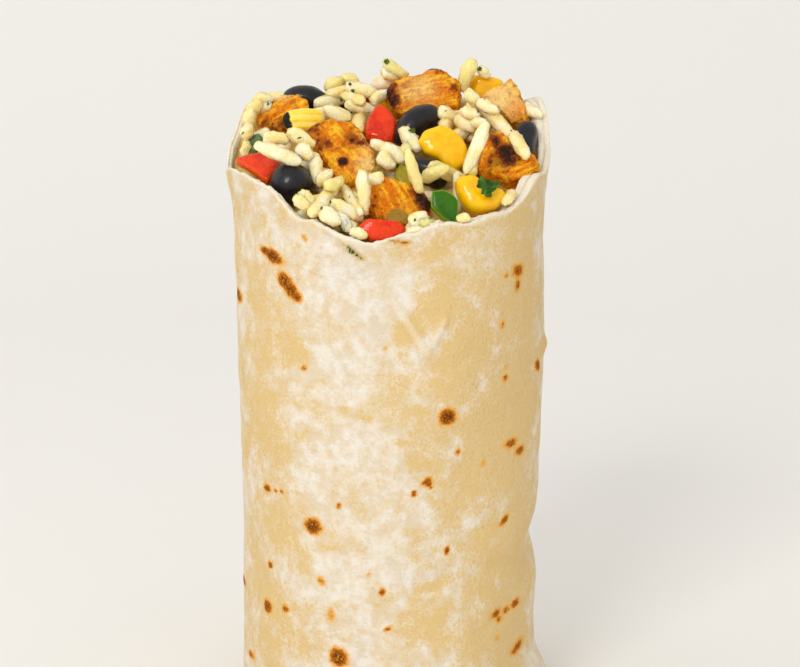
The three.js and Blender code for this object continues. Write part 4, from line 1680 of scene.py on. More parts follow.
@dataclass
class ChickenPiece(Topping):
    """A cube of grilled chicken with torn faces, fibres and burnt places."""

    corners: Sequence[Pixel] = ()
    depth: float = 6.0
    squareness: float = 7.0
    fibre_turn: float = 0.0
    fibre: float = 0.16
    crag: float = 0.35
    char: tuple[Blob, ...] = ()
    pale: tuple[Blob, ...] = ()
    lumps: tuple[Blob, ...] = ()
    cell: float = 0.24

    def material(self) -> bpy.types.Material:
        """The finish that all pieces of chicken share."""
        return bpy.data.materials.get("chicken_finish") or ChickenFinish().material()

    def fibres(self, points: Field, seed: float) -> Field:
        """Fine ridges along the meat's fibres.

        Args:
            points: Places on the piece.
            seed: Number that sets the piece's own pattern.

        Returns:
            The height at each place, between about -1 and 1.
        """
        t = math.radians(self.fibre_turn)
        along = points[:, 0] * math.cos(t) + points[:, 2] * math.sin(t)
        over = points[:, 2] * math.cos(t) - points[:, 0] * math.sin(t)
        drawn = np.stack([along / 7.0, points[:, 1] / 1.1, over / 1.1], axis=-1)
        return fractal(drawn, 0.62, 3, seed)

    def build(self) -> Thing:
        """Builds the block with even faces, roughens it and places it.

        Returns:
            The piece.
        """
        outline = rounded_outline(self.corners, 72, 1)
        points, faces, _ = pillow(outline, self.depth, self.squareness, 22)
        piece = make_object(self.name + "_piece", points, faces, self.material())
        even_mesh(piece, self.cell)
        points, normals = points_of(piece), normals_of(piece)
        seed = abs(self.middle[0]) + abs(self.middle[1])
        fibre = self.fibres(points, seed)
        push = self.crag * fractal(points, 3.4, 3, seed + 2) + 0.22 * fractal(points, 1.0, 3, seed + 3)
        push = push + self.fibre * fibre
        for lump in self.lumps:
            push = push + lump.at(points)
        char, pale = blobs_at(self.char, points), blobs_at(self.pale, points)
        crust = 0.3 * ease(0.55, 0.9, np.abs(fractal(points, 2.2, 3, seed + 6)) * 2)
        push = push + 0.22 * np.clip(char, 0, 1) * fractal(points, 0.6, 2, seed + 7)
        move_points(piece, self.placed(points + normals * push[:, None]))
        piece.data.materials.clear()
        piece.data.materials.append(self.material())
        shade_smooth(piece.data)
        set_mark(piece.data, "fibre", fibre)
        set_mark(piece.data, "char", np.clip(char + crust, 0, 1.3))
        set_mark(piece.data, "pale", np.clip(pale, 0, 1))
        declare(piece, [self.name])
        return piece


@dataclass
class Leaf(Topping):
    """A curled scrap of leaf with a lobed outline."""

    width: float = 4.8
    height: float = 4.4
    thickness: float = 0.3
    finish: Optional[FleshFinish] = HERB
    slot: Slot = Slot.HERB

    def form(self) -> tuple[Field, list[Face], dict[str, Field]]:
        """Two wavy faces joined at the edge.

        Returns:
            Its points in millimetres, its faces and its marks.
        """
        steps, rings = 60, 9
        a = np.linspace(0, 2 * math.pi, steps, endpoint=False)
        lobes = 0.78 + 0.2 * np.cos(3 * a - 0.8) + 0.09 * np.sin(7 * a) + 0.05 * np.sin(13 * a + 1)
        shares = [*np.linspace(1 / rings, 1, rings), *np.linspace(1, 1 / rings, rings)]
        points = []
        for i, share in enumerate(shares):
            x = share * lobes * np.cos(a) * self.width / 2
            z = share * lobes * np.sin(a) * self.height / 2
            wave = 0.4 * np.sin(x * 1.5) + 0.35 * np.cos(z * 1.9) + 0.25 * np.sin(x * z)
            side = -1 if i < rings else 1
            points.append(np.stack([x, wave + side * self.thickness / 2, z], axis=-1))
        count = steps * len(shares)
        ends = [[0, 0.35 - self.thickness / 2, 0], [0, 0.35 + self.thickness / 2, 0]]
        cloud = np.concatenate([*points, ends])
        faces = [tuple(reversed(f)) for f in ring_faces(len(shares), steps, count, count + 1)]
        veins = np.append(np.tile(0.5 * bell(np.sin(1.5 * a), 0.2), len(shares)), [0.5, 0.5])
        return cloud, faces, {"side": veins}


def all_toppings() -> list[Topping]:
    """Every piece that lies in the open top.

    Returns:
        The pieces, each with its place.
    """
    red = {"finish": RED_PEPPER, "slot": Slot.RED_PEPPER}
    green = {"finish": GREEN_PEPPER, "slot": Slot.GREEN_PEPPER}
    corn = {"finish": SWEETCORN, "slot": Slot.CORN}
    pickled = {"finish": PICKLED_PEPPER, "slot": Slot.PICKLED_PEPPER}
    onion = {"finish": ONION, "slot": Slot.ONION}
    return [
        ChickenPiece(
            "chicken_diamond", (-9.4, -4.6, 113.9), 42,
            corners=[(-6.8, 5.1), (-4.3, 6.6), (-1.5, 7.5), (2.6, 6.7), (4.3, 3.9), (6.4, 0), (6.8, -4.5),
                     (5.6, -6.1), (2.2, -6.9), (0.4, -7.7), (-1.6, -5.1), (-3.2, -2.1), (-4.8, 1.2)],
            depth=6.0, fibre_turn=-50,
            char=(Blob(-5.6, 5.0, 2.2, 0.65), Blob(-3.4, 1.2, 1.9, 0.6), Blob(0.6, -2.9, 0.9, 1.6),
                  Blob(1.6, 3.0, 1.9, 0.5), Blob(3.6, 1.6, 1.8, 0.5)),
            pale=(Blob(5.8, -3.5, 2.6, 0.9), Blob(5.2, 2.0, 1.6, 0.6)),
        ),
        ChickenPiece(
            "chicken_back", (6.4, 14.4, 122), 28,
            corners=[(-7.2, 1.9), (-5.5, 3.3), (-2.8, 4.4), (0.7, 5.2), (3.7, 6.1), (5.9, 5.0), (7.8, 3.6),
                     (7.9, -0.3), (7.4, -2.5), (3.4, -3.8), (-3.4, -4.3), (-5.8, -2.3)],
            depth=8.0, fibre_turn=12, crag=0.5,
            char=(Blob(-6.6, 1.4, 2.4, 1.0), Blob(-6.0, -1.6, 1.8, 0.8), Blob(3.6, 5.6, 1.6, 0.5),
                  Blob(6.8, 1.5, 1.6, 0.5)),
            # The pale blobs of this piece are painted light, brightening a piece that lies back and tilted
            # from the lamps.
            pale=(Blob(0.5, 1.6, 2.8, 0.6), Blob(-2.6, 0.8, 2.4, 0.4)),
        ),
        ChickenPiece(
            "chicken_back_right", (23.2, 9, 121.8), 24,
            corners=[(-5.0, 1.8), (-3.5, 2.8), (0, 4.2), (1.2, 5.7), (2.4, 3.7), (3.5, 0.7), (4.8, -2.6),
                     (4.1, -3.8), (1.5, -3.9), (-0.9, -1.6), (-3.5, 0.4)],
            depth=5.2, fibre_turn=-60, crag=0.2,
            char=(Blob(2.6, 3.9, 0.9, 0.7), Blob(3.6, 1.2, 0.9, 0.7), Blob(4.6, -1.4, 0.9, 0.7)),
            pale=(Blob(-1.0, 1.0, 4.0, 1.0),),
        ),
        ChickenPiece(
            "chicken_left", (-21.8, 9.4, 119.4), 30,
            corners=[(-5.8, 0.3), (-4.6, 0.9), (-1.7, 2.3), (-0.3, 3.8), (1.0, 4.8), (3.7, 4.5), (5.3, 2.8),
                     (5.7, 1.4), (3.9, -1.2), (1.0, -3.6), (-3.3, -3.6), (-4.5, -1.8)],
            depth=5.4, fibre_turn=30, crag=0.55,
            char=(Blob(0.6, -2.2, 1.7, 0.75), Blob(-2.6, -2.4, 1.3, 0.65), Blob(2.6, 2.2, 1.4, 0.4),
                  Blob(-5.0, 0.6, 1.0, 0.5)),
            pale=(Blob(0.6, 4.4, 1.6, 0.8),),
        ),
        ChickenPiece(
            "chicken_charred", (22.8, -6.6, 112.8), 35,
            corners=[(-3.6, 4.9), (-2.0, 5.9), (0.1, 4.7), (2.0, 2.6), (3.7, 1.3), (5.6, 0.7), (6.8, -1.6),
                     (5.1, -4.1), (1.7, -4.5), (-1.4, -3.5), (-5.3, -2.0), (-5.0, 0.9)],
            depth=5.8, fibre_turn=20, crag=0.9,
            char=(Blob(-0.4, 1.4, 1.8, 0.95), Blob(-2.4, 4.4, 1.7, 0.7), Blob(1.8, 0.6, 2.0, 0.65),
                  Blob(-0.5, -1.4, 1.8, 0.45), Blob(-3.2, -1.4, 1.4, 0.4)),
            lumps=(Blob(-0.4, 1.6, 1.2, 0.8), Blob(1.8, 0.4, 1.0, 0.6), Blob(-2.6, 4.2, 1.0, 0.6),
                   Blob(-1.6, -2.2, 0.9, 0.5), Blob(4.6, -1.2, 1.0, 0.5)),
        ),
        ChickenPiece(
            "chicken_front", (1.9, -16.4, 107.6), 30,
            corners=[(-6.2, -3.1), (-6.0, 1.0), (-4.7, 2.6), (-2.8, 4.2), (-0.2, 3.6), (2.6, 2.0),
                     (5.0, 0.4), (6.3, -2.2), (5.1, -3.9), (1.6, -4.7), (-2.8, -4.7)],
            depth=6.0, fibre_turn=-62, fibre=0.3, crag=0.4,
            char=(Blob(5.4, -1.6, 2.0, 1.2), Blob(3.2, 0.8, 1.5, 0.7), Blob(-4.4, -0.4, 0.5, 0.7),
                  Blob(-4.5, -2.2, 0.5, 0.7)),
        ),
        Bean("bean_front_left", (-18.9, -13.6, 110.1), 10, turn=12, size=(8.6, 9.4, 8.6)),
        Bean("bean_middle", (5.4, 4.4, 118.8), 36, turn=44, size=(11.4, 6.8, 6.4)),
        Bean("bean_back_left", (-17, 17.2, 122), 20, turn=-8, size=(9.8, 6.6, 5.8)),
        Bean("bean_back_top", (9.2, 22.4, 124.4), 0, twist=80, size=(9.6, 6, 6.4)),
        Bean("bean_right", (26.8, 0.2, 116.2), 30, turn=80, size=(8.8, 6, 5.6)),
        Bean("bean_under_corn", (7.6, -7.4, 111.2), 50, turn=-28, size=(8.8, 6, 5.6)),
        Bean("bean_back_rim", (-9.6, 24.4, 120), 0, turn=6, twist=18, size=(9.6, 6, 5.8)),
        CutPiece(
            "corn_middle", (11.2, -3.4, 115), 22, **corn,
            corners=[(-5.5, 1.4), (-4.3, 3.6), (-1.1, 4.8), (0.9, 4.2), (3.4, 2.0), (4.2, 0), (3.7, -2.8),
                     (1.8, -4.4), (0, -3.8), (-1.5, -2.1), (-4.1, -0.9)],
            depth=5.8, squareness=4.6, softness=1, bow=0, flesh_side=0.0,
        ),
        CutPiece(
            "corn_front", (17.2, -17.2, 108), 30, **corn,
            corners=[(-4.5, 3.0), (-3.4, 3.9), (-1.0, 4.4), (0.7, 3.1), (2.7, 1.7), (4.6, 1.5), (5.3, 0.3),
                     (4.3, -1.4), (3.0, -2.6), (1.0, -3.4), (-1.2, -3.2), (-2.7, -1.9), (-4.0, 0.5)],
            depth=6.2, squareness=3.8, softness=2, bow=0, flesh_side=0.0,
            dents=(Blob(2.2, 1.6, 1.6, 1.4),),
        ),
        CutPiece(
            "corn_charred", (-17.2, 3.8, 118.9), 20, PALE_CORN, Slot.CORN,
            corners=[(-4.0, 1.7), (-2.5, 3.0), (0.5, 3.3), (3.5, 3.2), (4.3, 2.1), (4.3, 0.1), (2.9, -1.1),
                     (0.1, -1.6), (-2.1, -1.7), (-3.5, -0.5)],
            depth=4.8, squareness=3.4, softness=3, bow=-0.2, flesh_side=0.6, ridges=0.13,
            char=(Blob(-3.9, 1.2, 1.5, 1.6, -1.5), Blob(-3.2, -1.0, 1.2, 1.5, -1.8)),
        ),
        Kernel("corn_back_right", (19.6, 17.8, 123.6), 20, turn=-10, size=(7.2, 6, 7.2)),
        Kernel("corn_back_rim", (0.4, 26, 119.8), -10, turn=-70, size=(6.8, 4.8, 6.6)),
        CutPiece(
            "red_pepper_middle", (-2, 5.6, 117.9), 34, **red,
            corners=[(-0.6, 4.5), (1.1, 4.4), (3.0, 2.3), (3.6, -0.3), (3.1, -2.8), (1.4, -3.8),
                     (-0.6, -3.2), (-2.5, -2.6), (-2.7, -0.9), (-2.2, 1.5)],
            depth=4.2, flesh_side=0.35,
        ),
        CutPiece(
            "red_pepper_left", (-25.2, -8.6, 113), 62, **red,
            corners=[(-4.7, 1.4), (-1.4, 2.7), (1.7, 3.0), (4.2, 0.4), (2.8, -2.3), (1.9, -5.5),
                     (0.7, -4.7), (-1.4, -2.0), (-3.2, 0)],
            depth=2.2, flesh_side=0.7,
        ),
        CutPiece(
            "red_pepper_front", (-1.4, -25.2, 103.5), 20, **red,
            corners=[(-4.8, -0.3), (-2.8, 1.9), (-0.2, 1.8), (3.6, 1.4), (4.6, 0.3), (4.1, -1.4),
                     (1.7, -2.6), (-1.6, -2.5)],
            depth=3.4, flesh_side=0.3,
        ),
        CutPiece(
            "red_pepper_back", (-3.8, 17.6, 122.9), 10, **red, turn=-8,
            corners=[(-3.4, 0.8), (-1, 1.4), (2, 1.5), (3.2, 0.2), (2.4, -1.4), (-1.6, -1.5)],
            depth=2.4, flesh_side=0.5,
        ),
        CutPiece(
            "red_pepper_back_rim", (-16.8, 19.8, 119.8), -20, **red, turn=20,
            corners=[(-2.4, 1.6), (0, 2.2), (2.4, 1.4), (2.2, -1.8), (-0.4, -2.2), (-2.5, -1.2)],
            depth=2.8, flesh_side=0.6,
        ),
        CutPiece(
            "green_pepper_front", (10.4, -21.6, 106.6), 26, **green,
            corners=[(-2.2, 3.3), (0, 3.6), (1.9, 2.7), (2.9, 1.5), (2.8, -2.2), (1.8, -3.0), (0.4, -2.2),
                     (-1.2, -0.7), (-2.3, 0.4)],
            depth=3.4, squareness=9, softness=1, bow=0,
        ),
        CutPiece(
            "green_pepper_left", (-26.6, 0.4, 115.8), 30, DULL_GREEN_PEPPER, Slot.GREEN_PEPPER,
            corners=[(-2.5, -0.1), (-1.0, 1.2), (0.9, 1.8), (1.7, 0.8), (0.9, -0.5), (0.1, -2.4),
                     (-1.3, -1.9), (-2.2, -1.1)],
            depth=2.6,
        ),
        CutPiece(
            "green_pepper_olive", (2.8, -9.8, 110.6), 30, OLIVE_PEPPER, Slot.GREEN_PEPPER,
            corners=[(-1.6, 0.9), (-0.7, 2.4), (0.8, 2.3), (1.9, -0.6), (1.8, -2.4), (0.4, -2.9),
                     (-0.8, -1.8), (-1.5, -0.3)],
            depth=2.8,
        ),
        CutPiece(
            "pickled_pepper_front", (1.7, -21.8, 105.2), 35, **pickled,
            corners=[(-2.4, -0.5), (-1.4, 1.0), (0, 1.5), (1.4, 1.1), (2.4, -0.4), (1.5, -1.7),
                     (-1.4, -1.7)],
            depth=2.4,
        ),
        CutPiece(
            "pickled_pepper_middle", (-1.8, -9.8, 111.6), 30, **pickled,
            corners=[(-1.2, 0.9), (0, 1.5), (1.2, 0.8), (1.0, -1.3), (-0.9, -1.4)],
            depth=2.2,
        ),
        CutPiece(
            "onion_back", (-0.4, 21.8, 125), 20, **onion, turn=8,
            corners=[(-3.9, -0.6), (-2.9, 1.1), (-0.7, 1.8), (2.2, 1.8), (3.9, 0.9), (3.8, -1.0),
                     (1.6, -1.8), (-2.5, -1.7)],
            depth=3.6, squareness=3,
        ),
        CutPiece(
            "onion_front", (13.3, -13, 108.4), 24, **onion,
            corners=[(-0.9, 3.6), (0.3, 4.1), (1.1, 1.3), (1.2, -2.5), (0.6, -4.3), (-0.6, -4.0),
                     (-0.8, -0.5)],
            depth=2.6, squareness=3,
        ),
        Leaf("coriander_leaf", (18.9, -21.2, 111), 30, turn=10),
    ]


# Rice


@dataclass(frozen=True)
class SeenGrain:
    """A grain that the photograph shows, by the pixels of its two ends, with its width in millimetres."""

    start: Pixel
    end: Pixel
    width: float = 2.7
    tint: float = 0.3
    kind: int = 0
    depth: Optional[float] = None


# Each row: start, end, width, tint, kind, and the depth where the height of the heap doesn't give it.
SEEN_GRAINS = tuple(
    SeenGrain(*row)
    for row in (
        ((481, 108), (513, 143), 3.2), ((486, 128), (466, 176), 2.9, 0.1, 0, -15.5),
        ((362, 176), (365, 216), 2.9, 0.2), ((408, 155), (421, 195), 2.6, 0.75, 1),
        ((425, 183), (448, 174), 2.8, 0.85, 1, -12.5), ((473, 66), (463, 94), 3.2, 0.85, 2, 15.0),
        ((386, 64), (406, 78), 2.8, 0.9, 1, 19.5), ((384, 73), (398, 80), 2.8, 0.3, 4, 19.5),
        ((480, 72), (487, 79), 2.4, 0.3, 3, 16.0), ((341, 84), (356, 84), 2.4, 0.9, 1, 20.0),
        ((527, 108), (541, 118), 2.6, 0.2, 1), ((257, 149), (299, 166), 3.1, 0.2),
        ((313, 160), (317, 185), 3.0, 0.3, 2), ((311, 219), (336, 189), 3.0, 0.5),
        ((335, 206), (360, 223), 2.8, 0.3), ((344, 191), (361, 216), 2.6, 0.3, 1),
        ((322, 216), (337, 228), 3.2, 0.2, 3, -25.0), ((296, 203), (308, 210), 2.8, 0.4, 3, -24.0),
        ((302, 197), (312, 205), 2.6, 0.5, 3, -23.5), ((319, 187), (329, 177), 2.8, 0.2, 3),
        ((327, 190), (341, 184), 2.6, 0.9, 3), ((371, 183), (381, 180), 2.6, 0.2, 3),
        ((373, 147), (389, 154), 2.8, 0.2, 3), ((384, 151), (402, 164), 3.3, 0.2, 4),
        ((382, 158), (392, 170), 2.9, 0.2, 4), ((403, 134), (418, 153), 3.3, 0.2, 4),
        ((440, 116), (457, 125), 3.2, 0.4, 4), ((459, 122), (474, 131), 3.2, 0.3, 4),
        ((463, 114), (477, 119), 2.6, 0.3, 3), ((474, 125), (486, 131), 2.8, 0.2, 3, 0.5),
        ((468, 96), (477, 107), 2.8, 0.3, 3), ((514, 138), (527, 160), 3.0, 0.4, 4),
        ((480, 106), (496, 115), 2.8, 0.1, 2), ((316, 107), (341, 105), 3.1, 0.2, 2),
        ((327, 93), (341, 84), 2.9, 0.8, 1, 19.0), ((327, 100), (346, 93), 3.0, 0.5, 2, 18.0),
        ((244, 157), (247, 146), 2.2, 0.5, 3, -1.0), ((348, 91), (374, 97), 3.2, 0.3),
        ((373, 104), (386, 96), 2.9, 0.2, 4), ((347, 108), (371, 113), 3.0, 0.4),
        ((326, 113), (348, 122), 2.9, 0.3, 2), ((343, 99), (362, 106), 2.8, 0.6, 1),
        ((266, 142), (286, 144), 2.8, 0.3, 4, -9.5), ((289, 137), (312, 149), 3.0, 0.4, 2, -8.0),
        ((299, 152), (309, 161), 3.0, 0.1, 4), ((246, 140), (250, 129), 2.8, 0.5, 4, 0.0),
        ((247, 127), (251, 114), 3.0, 0.4, 2, 5.0), ((250, 115), (258, 106), 3.0, 0.6, 4, 7.5),
        ((256, 106), (270, 103), 3.0, 0.5, 2, 9.5), ((267, 104), (281, 100), 2.8, 0.4, 0, 13.0),
        ((260, 112), (269, 107), 2.6, 0.3, 4, 9.0), ((412, 229), (426, 220), 3.1, 0.3, 4, -25.4),
        ((409, 236), (421, 233), 2.4, 0.3, 3, -27.0), ((429, 230), (440, 226), 2.3, 0.4, 1, -26.2),
        ((460, 222), (467, 220), 2.0, 0.6, 3, -26.0), ((343, 226), (354, 233), 2.6, 0.4, 3, -24.5),
        ((353, 235), (364, 239), 2.2, 0.3, 3, -27.0), ((505, 205), (512, 196), 2.4, 0.3, 3),
    )
)

# Pixels of the wrap's outside where scraps of herb stick in the fold below the lip, and how broad each is.
WRAP_FLECKS = (
    ((348, 247), 0.8), ((350, 250), 1.3), ((353, 252), 1.2), ((357, 255), 0.9), ((361, 258), 0.6),
)

# Pixels where scraps of herb show, and how broad each is in millimetres.
SEEN_FLECKS = (
    ((387, 62), 1.4), ((480, 69), 1.1), ((478, 81), 1.5), ((412, 131), 1.7), ((478, 112), 0.7),
    ((398, 166), 0.9), ((343, 231), 1.2), ((342, 229), 0.8), ((330, 202), 0.7), ((236, 118), 0.8),
    ((243, 133), 0.7), ((268, 104), 0.7), ((252, 97), 0.6), ((341, 100), 1.0), ((353, 91), 1.0),
    ((415, 220), 0.7), ((445, 226), 0.8), ((350, 84), 0.8), ((299, 138), 0.8), ((322, 208), 0.7),
)


@dataclass
class Grain:
    """A grain that has found its place."""

    middle: Vector
    along: Vector
    length: float
    width: float
    kind: int
    tint: float

    def euler(self, roll: float) -> tuple[float, float, float]:
        """The turns that bring the X axis to the grain's own direction, after a roll about it."""
        turn = self.along.to_track_quat("X", "Z") @ Euler((roll, 0, 0)).to_quaternion()
        return tuple(turn.to_euler("XYZ"))


def gather(name: str, shapes: Iterable[Field], faces: list[Face]) -> bpy.types.Collection:
    """Puts plain shapes in a collection that the scene doesn't show.

    Args:
        name: What the shapes are called; their number in the row comes after it.
        shapes: Points of each shape, one unit broad.
        faces: The faces that they share.

    Returns:
        The collection.
    """
    gathered = bpy.data.collections.new(name + "_shapes")
    for kind, points in enumerate(shapes):
        shape = make_object(f"{name}_{kind}", points / MM, faces, None)
        bpy.context.scene.collection.objects.unlink(shape)
        gathered.objects.link(shape)
    return gathered


@dataclass(frozen=True)
class GrainShapes:
    """The plain shapes that grains are repeated from, one unit long and one broad, along X."""

    rings: int = 5
    sides: int = 8
    forms: tuple[tuple[float, float, float, float], ...] = (
        (0.5, 0.0, 0.1, 0.06),
        (0.4, 0.22, 0.2, 0.05),
        (0.7, -0.1, 0.35, 0.1),
        (0.9, 0.05, 0.2, 0.1),
        (0.9, 0.1, 0.3, 0.16),
    )

    def ring_points(self, blunt: float, bend: float, taper: float, lump: float) -> Field:
        """Points of one shape.

        Args:
            blunt: How square the ends are, from 0 to 1.
            bend: How far the middle stands aside.
            taper: How much slimmer one end is.
            lump: How uneven the sides are.

        Returns:
            Rows of X, Y and Z, the two ends last.
        """
        xs = np.sin(np.linspace(-math.pi / 2, math.pi / 2, self.rings + 2)[1:-1]) * 0.5
        a = np.linspace(0, 2 * math.pi, self.sides, endpoint=False)
        rows = []
        for k, x in enumerate(xs):
            full = (1 - abs(2 * x) ** (2 + 2 * blunt)) ** 0.5
            uneven = 1 + lump * np.sin(2 * a + 1.9 * k) + 0.6 * lump * np.sin(3 * a - 2.3 * k)
            r = 0.5 * full * (1 - taper * x) * uneven
            aside = r * np.cos(a) + bend * (1 - 4 * x * x)
            rows.append(np.stack([np.full(self.sides, x), aside, r * np.sin(a)], axis=-1))
        return np.concatenate([*rows, [[-0.5, 0, 0], [0.5, 0, 0]]])

    def collection(self) -> bpy.types.Collection:
        """Makes the shapes and gathers them, in the order of their kind.

        Returns:
            The collection.
        """
        count = self.rings * self.sides
        faces = ring_faces(self.rings, self.sides, count, count + 1)
        return gather("grain", [self.ring_points(*form) for form in self.forms], faces)


@dataclass(frozen=True)
class FleckShapes:
    """The plain shapes that scraps of herb are repeated from: small curled blades, one unit broad."""

    steps: int = 10
    kinds: int = 3

    def blade(self, kind: int) -> Field:
        """Points of one shape, the middles of its two faces last.

        Args:
            kind: Number of the shape.

        Returns:
            The points.
        """
        a = np.linspace(0, 2 * math.pi, self.steps, endpoint=False)
        out = 0.5 * (0.75 + 0.25 * np.cos((2 + kind) * a + kind))
        rows = []
        for share, side in ((0.5, 0.12), (1.0, 0.08), (1.0, -0.08), (0.5, -0.12)):
            x, y = share * out * np.cos(a), share * out * np.sin(a) * (0.5 + 0.2 * kind)
            rows.append(np.stack([x, y, side + 0.5 * x * x + 0.4 * y * y * kind], axis=-1))
        return np.concatenate([*rows, [[0, 0, 0.14], [0, 0, -0.14]]])

    def collection(self) -> bpy.types.Collection:
        """Makes the shapes and gathers them.

        Returns:
            The collection.
        """
        count = 4 * self.steps
        faces = [tuple(reversed(f)) for f in ring_faces(4, self.steps, count, count + 1)]
        return gather("fleck", [self.blade(kind) for kind in range(self.kinds)], faces)


def scatter_tree(name: str) -> bpy.types.GeometryNodeTree:
    """A Geometry Nodes tree that puts shapes on points.

    The points carry a turn, a size, a kind and a tint each. Its inputs are Shapes, Unevenness, Lump Size and
    Finish.

    Args:
        name: The tree's name.

    Returns:
        The tree, which ends in real meshes with a material.
    """
    tree = bpy.data.node_groups.new(name, "GeometryNodeTree")
    socket(tree, "Geometry", False, "NodeSocketGeometry")
    socket(tree, "Geometry", True, "NodeSocketGeometry")
    socket(tree, "Shapes", True, "NodeSocketCollection")
    socket(tree, "Unevenness", True, "NodeSocketFloat", 0.0001)
    socket(tree, "Lump Size", True, "NodeSocketFloat", 0.0014)
    socket(tree, "Finish", True, "NodeSocketMaterial")
    bench = Bench(tree)
    given = bench.add("NodeGroupInput").outputs

    def named(attribute: str, kind: str) -> Socket:
        """A value that the points carry.

        Args:
            attribute: Name of the value.
            kind: Blender's name for its type.

        Returns:
            The value.
        """
        node = bench.add("GeometryNodeInputNamedAttribute", data_type=kind)
        node.inputs["Name"].default_value = attribute
        return node.outputs["Attribute"]

    shapes = bench.add("GeometryNodeCollectionInfo", transform_space="ORIGINAL")
    bench.put(shapes.inputs["Collection"], given["Shapes"])
    shapes.inputs["Separate Children"].default_value = True
    shapes.inputs["Reset Children"].default_value = True
    spread = bench.add("GeometryNodeInstanceOnPoints")
    bench.put(spread.inputs["Points"], given["Geometry"])
    bench.put(spread.inputs["Instance"], shapes.outputs[0])
    spread.inputs["Pick Instance"].default_value = True
    bench.put(spread.inputs["Instance Index"], named("kind", "INT"))
    turned = bench.add("FunctionNodeEulerToRotation")
    bench.put(turned.inputs[0], named("turn", "FLOAT_VECTOR"))
    bench.put(spread.inputs["Rotation"], turned.outputs[0])
    bench.put(spread.inputs["Scale"], named("size", "FLOAT_VECTOR"))
    real = bench.add("GeometryNodeRealizeInstances")
    bench.put(real.inputs[0], spread.outputs[0])
    round_form = bench.add("GeometryNodeSubdivisionSurface")
    bench.put(round_form.inputs["Mesh"], real.outputs[0])
    round_form.inputs["Level"].default_value = 1
    place = bench.add("GeometryNodeInputPosition").outputs[0]
    lumps = bench.noise(place, given["Lump Size"], 3.0, 0.6)
    push = bench.times(bench.math("SUBTRACT", lumps, 0.5), given["Unevenness"])
    moved = bench.add("GeometryNodeSetPosition")
    bench.put(moved.inputs["Geometry"], round_form.outputs[0])
    bench.put(moved.inputs["Offset"], bench.scaled(bench.add("GeometryNodeInputNormal").outputs[0], push))
    dressed = bench.add("GeometryNodeSetMaterial")
    bench.put(dressed.inputs["Geometry"], moved.outputs[0])
    bench.put(dressed.inputs["Material"], given["Finish"])
    bench.put(bench.add("NodeGroupOutput").inputs[0], dressed.outputs[0])
    return tree


@dataclass
class Scatter:
    """Repeats shapes at given places with the Geometry Nodes tree and makes one plain mesh of them."""

    name: str
    shapes: bpy.types.Collection
    finish: bpy.types.Material
    slot: Slot
    unevenness: float = 1.5
    lump_size: float = 1.15
    nodes: Sequence[str] = ()

    def build(
        self, places: Field, turns: Field, sizes: Field, kinds: Field, tints: Field
    ) -> Thing:
        """Makes the piece.

        Args:
            places: Rows of X, Y and Z in millimetres.
            turns: Euler turns, a row each.
            sizes: Length, width and thickness in millimetres, a row each.
            kinds: Number of the shape, one each.
            tints: Tint, one each.

        Returns:
            The finished object.
        """
        cloud = make_object(self.name, places, [], None, {"tint": tints})
        for mark, values in (("turn", turns), ("size", sizes * MM)):
            layer = cloud.data.attributes.new(mark, "FLOAT_VECTOR", "POINT")
            layer.data.foreach_set("vector", np.asarray(values, np.float32).ravel())
        layer = cloud.data.attributes.new("kind", "INT", "POINT")
        layer.data.foreach_set("value", np.asarray(kinds, np.int32))
        tree = scatter_tree(self.name + "_scatter")
        modifier = cloud.modifiers.new("scatter", "NODES")
        modifier.node_group = tree
        values = {
            "Shapes": self.shapes,
            "Unevenness": self.unevenness * MM,
            "Lump Size": self.lump_size * MM,
            "Finish": self.finish,
        }
        for item in tree.interface.items_tree:
            if item.in_out == "INPUT" and item.name in values:
                modifier[item.identifier] = values[item.name]
        apply_modifiers(cloud)
        shade_smooth(cloud.data)
        declare(cloud, self.nodes)
        return cloud


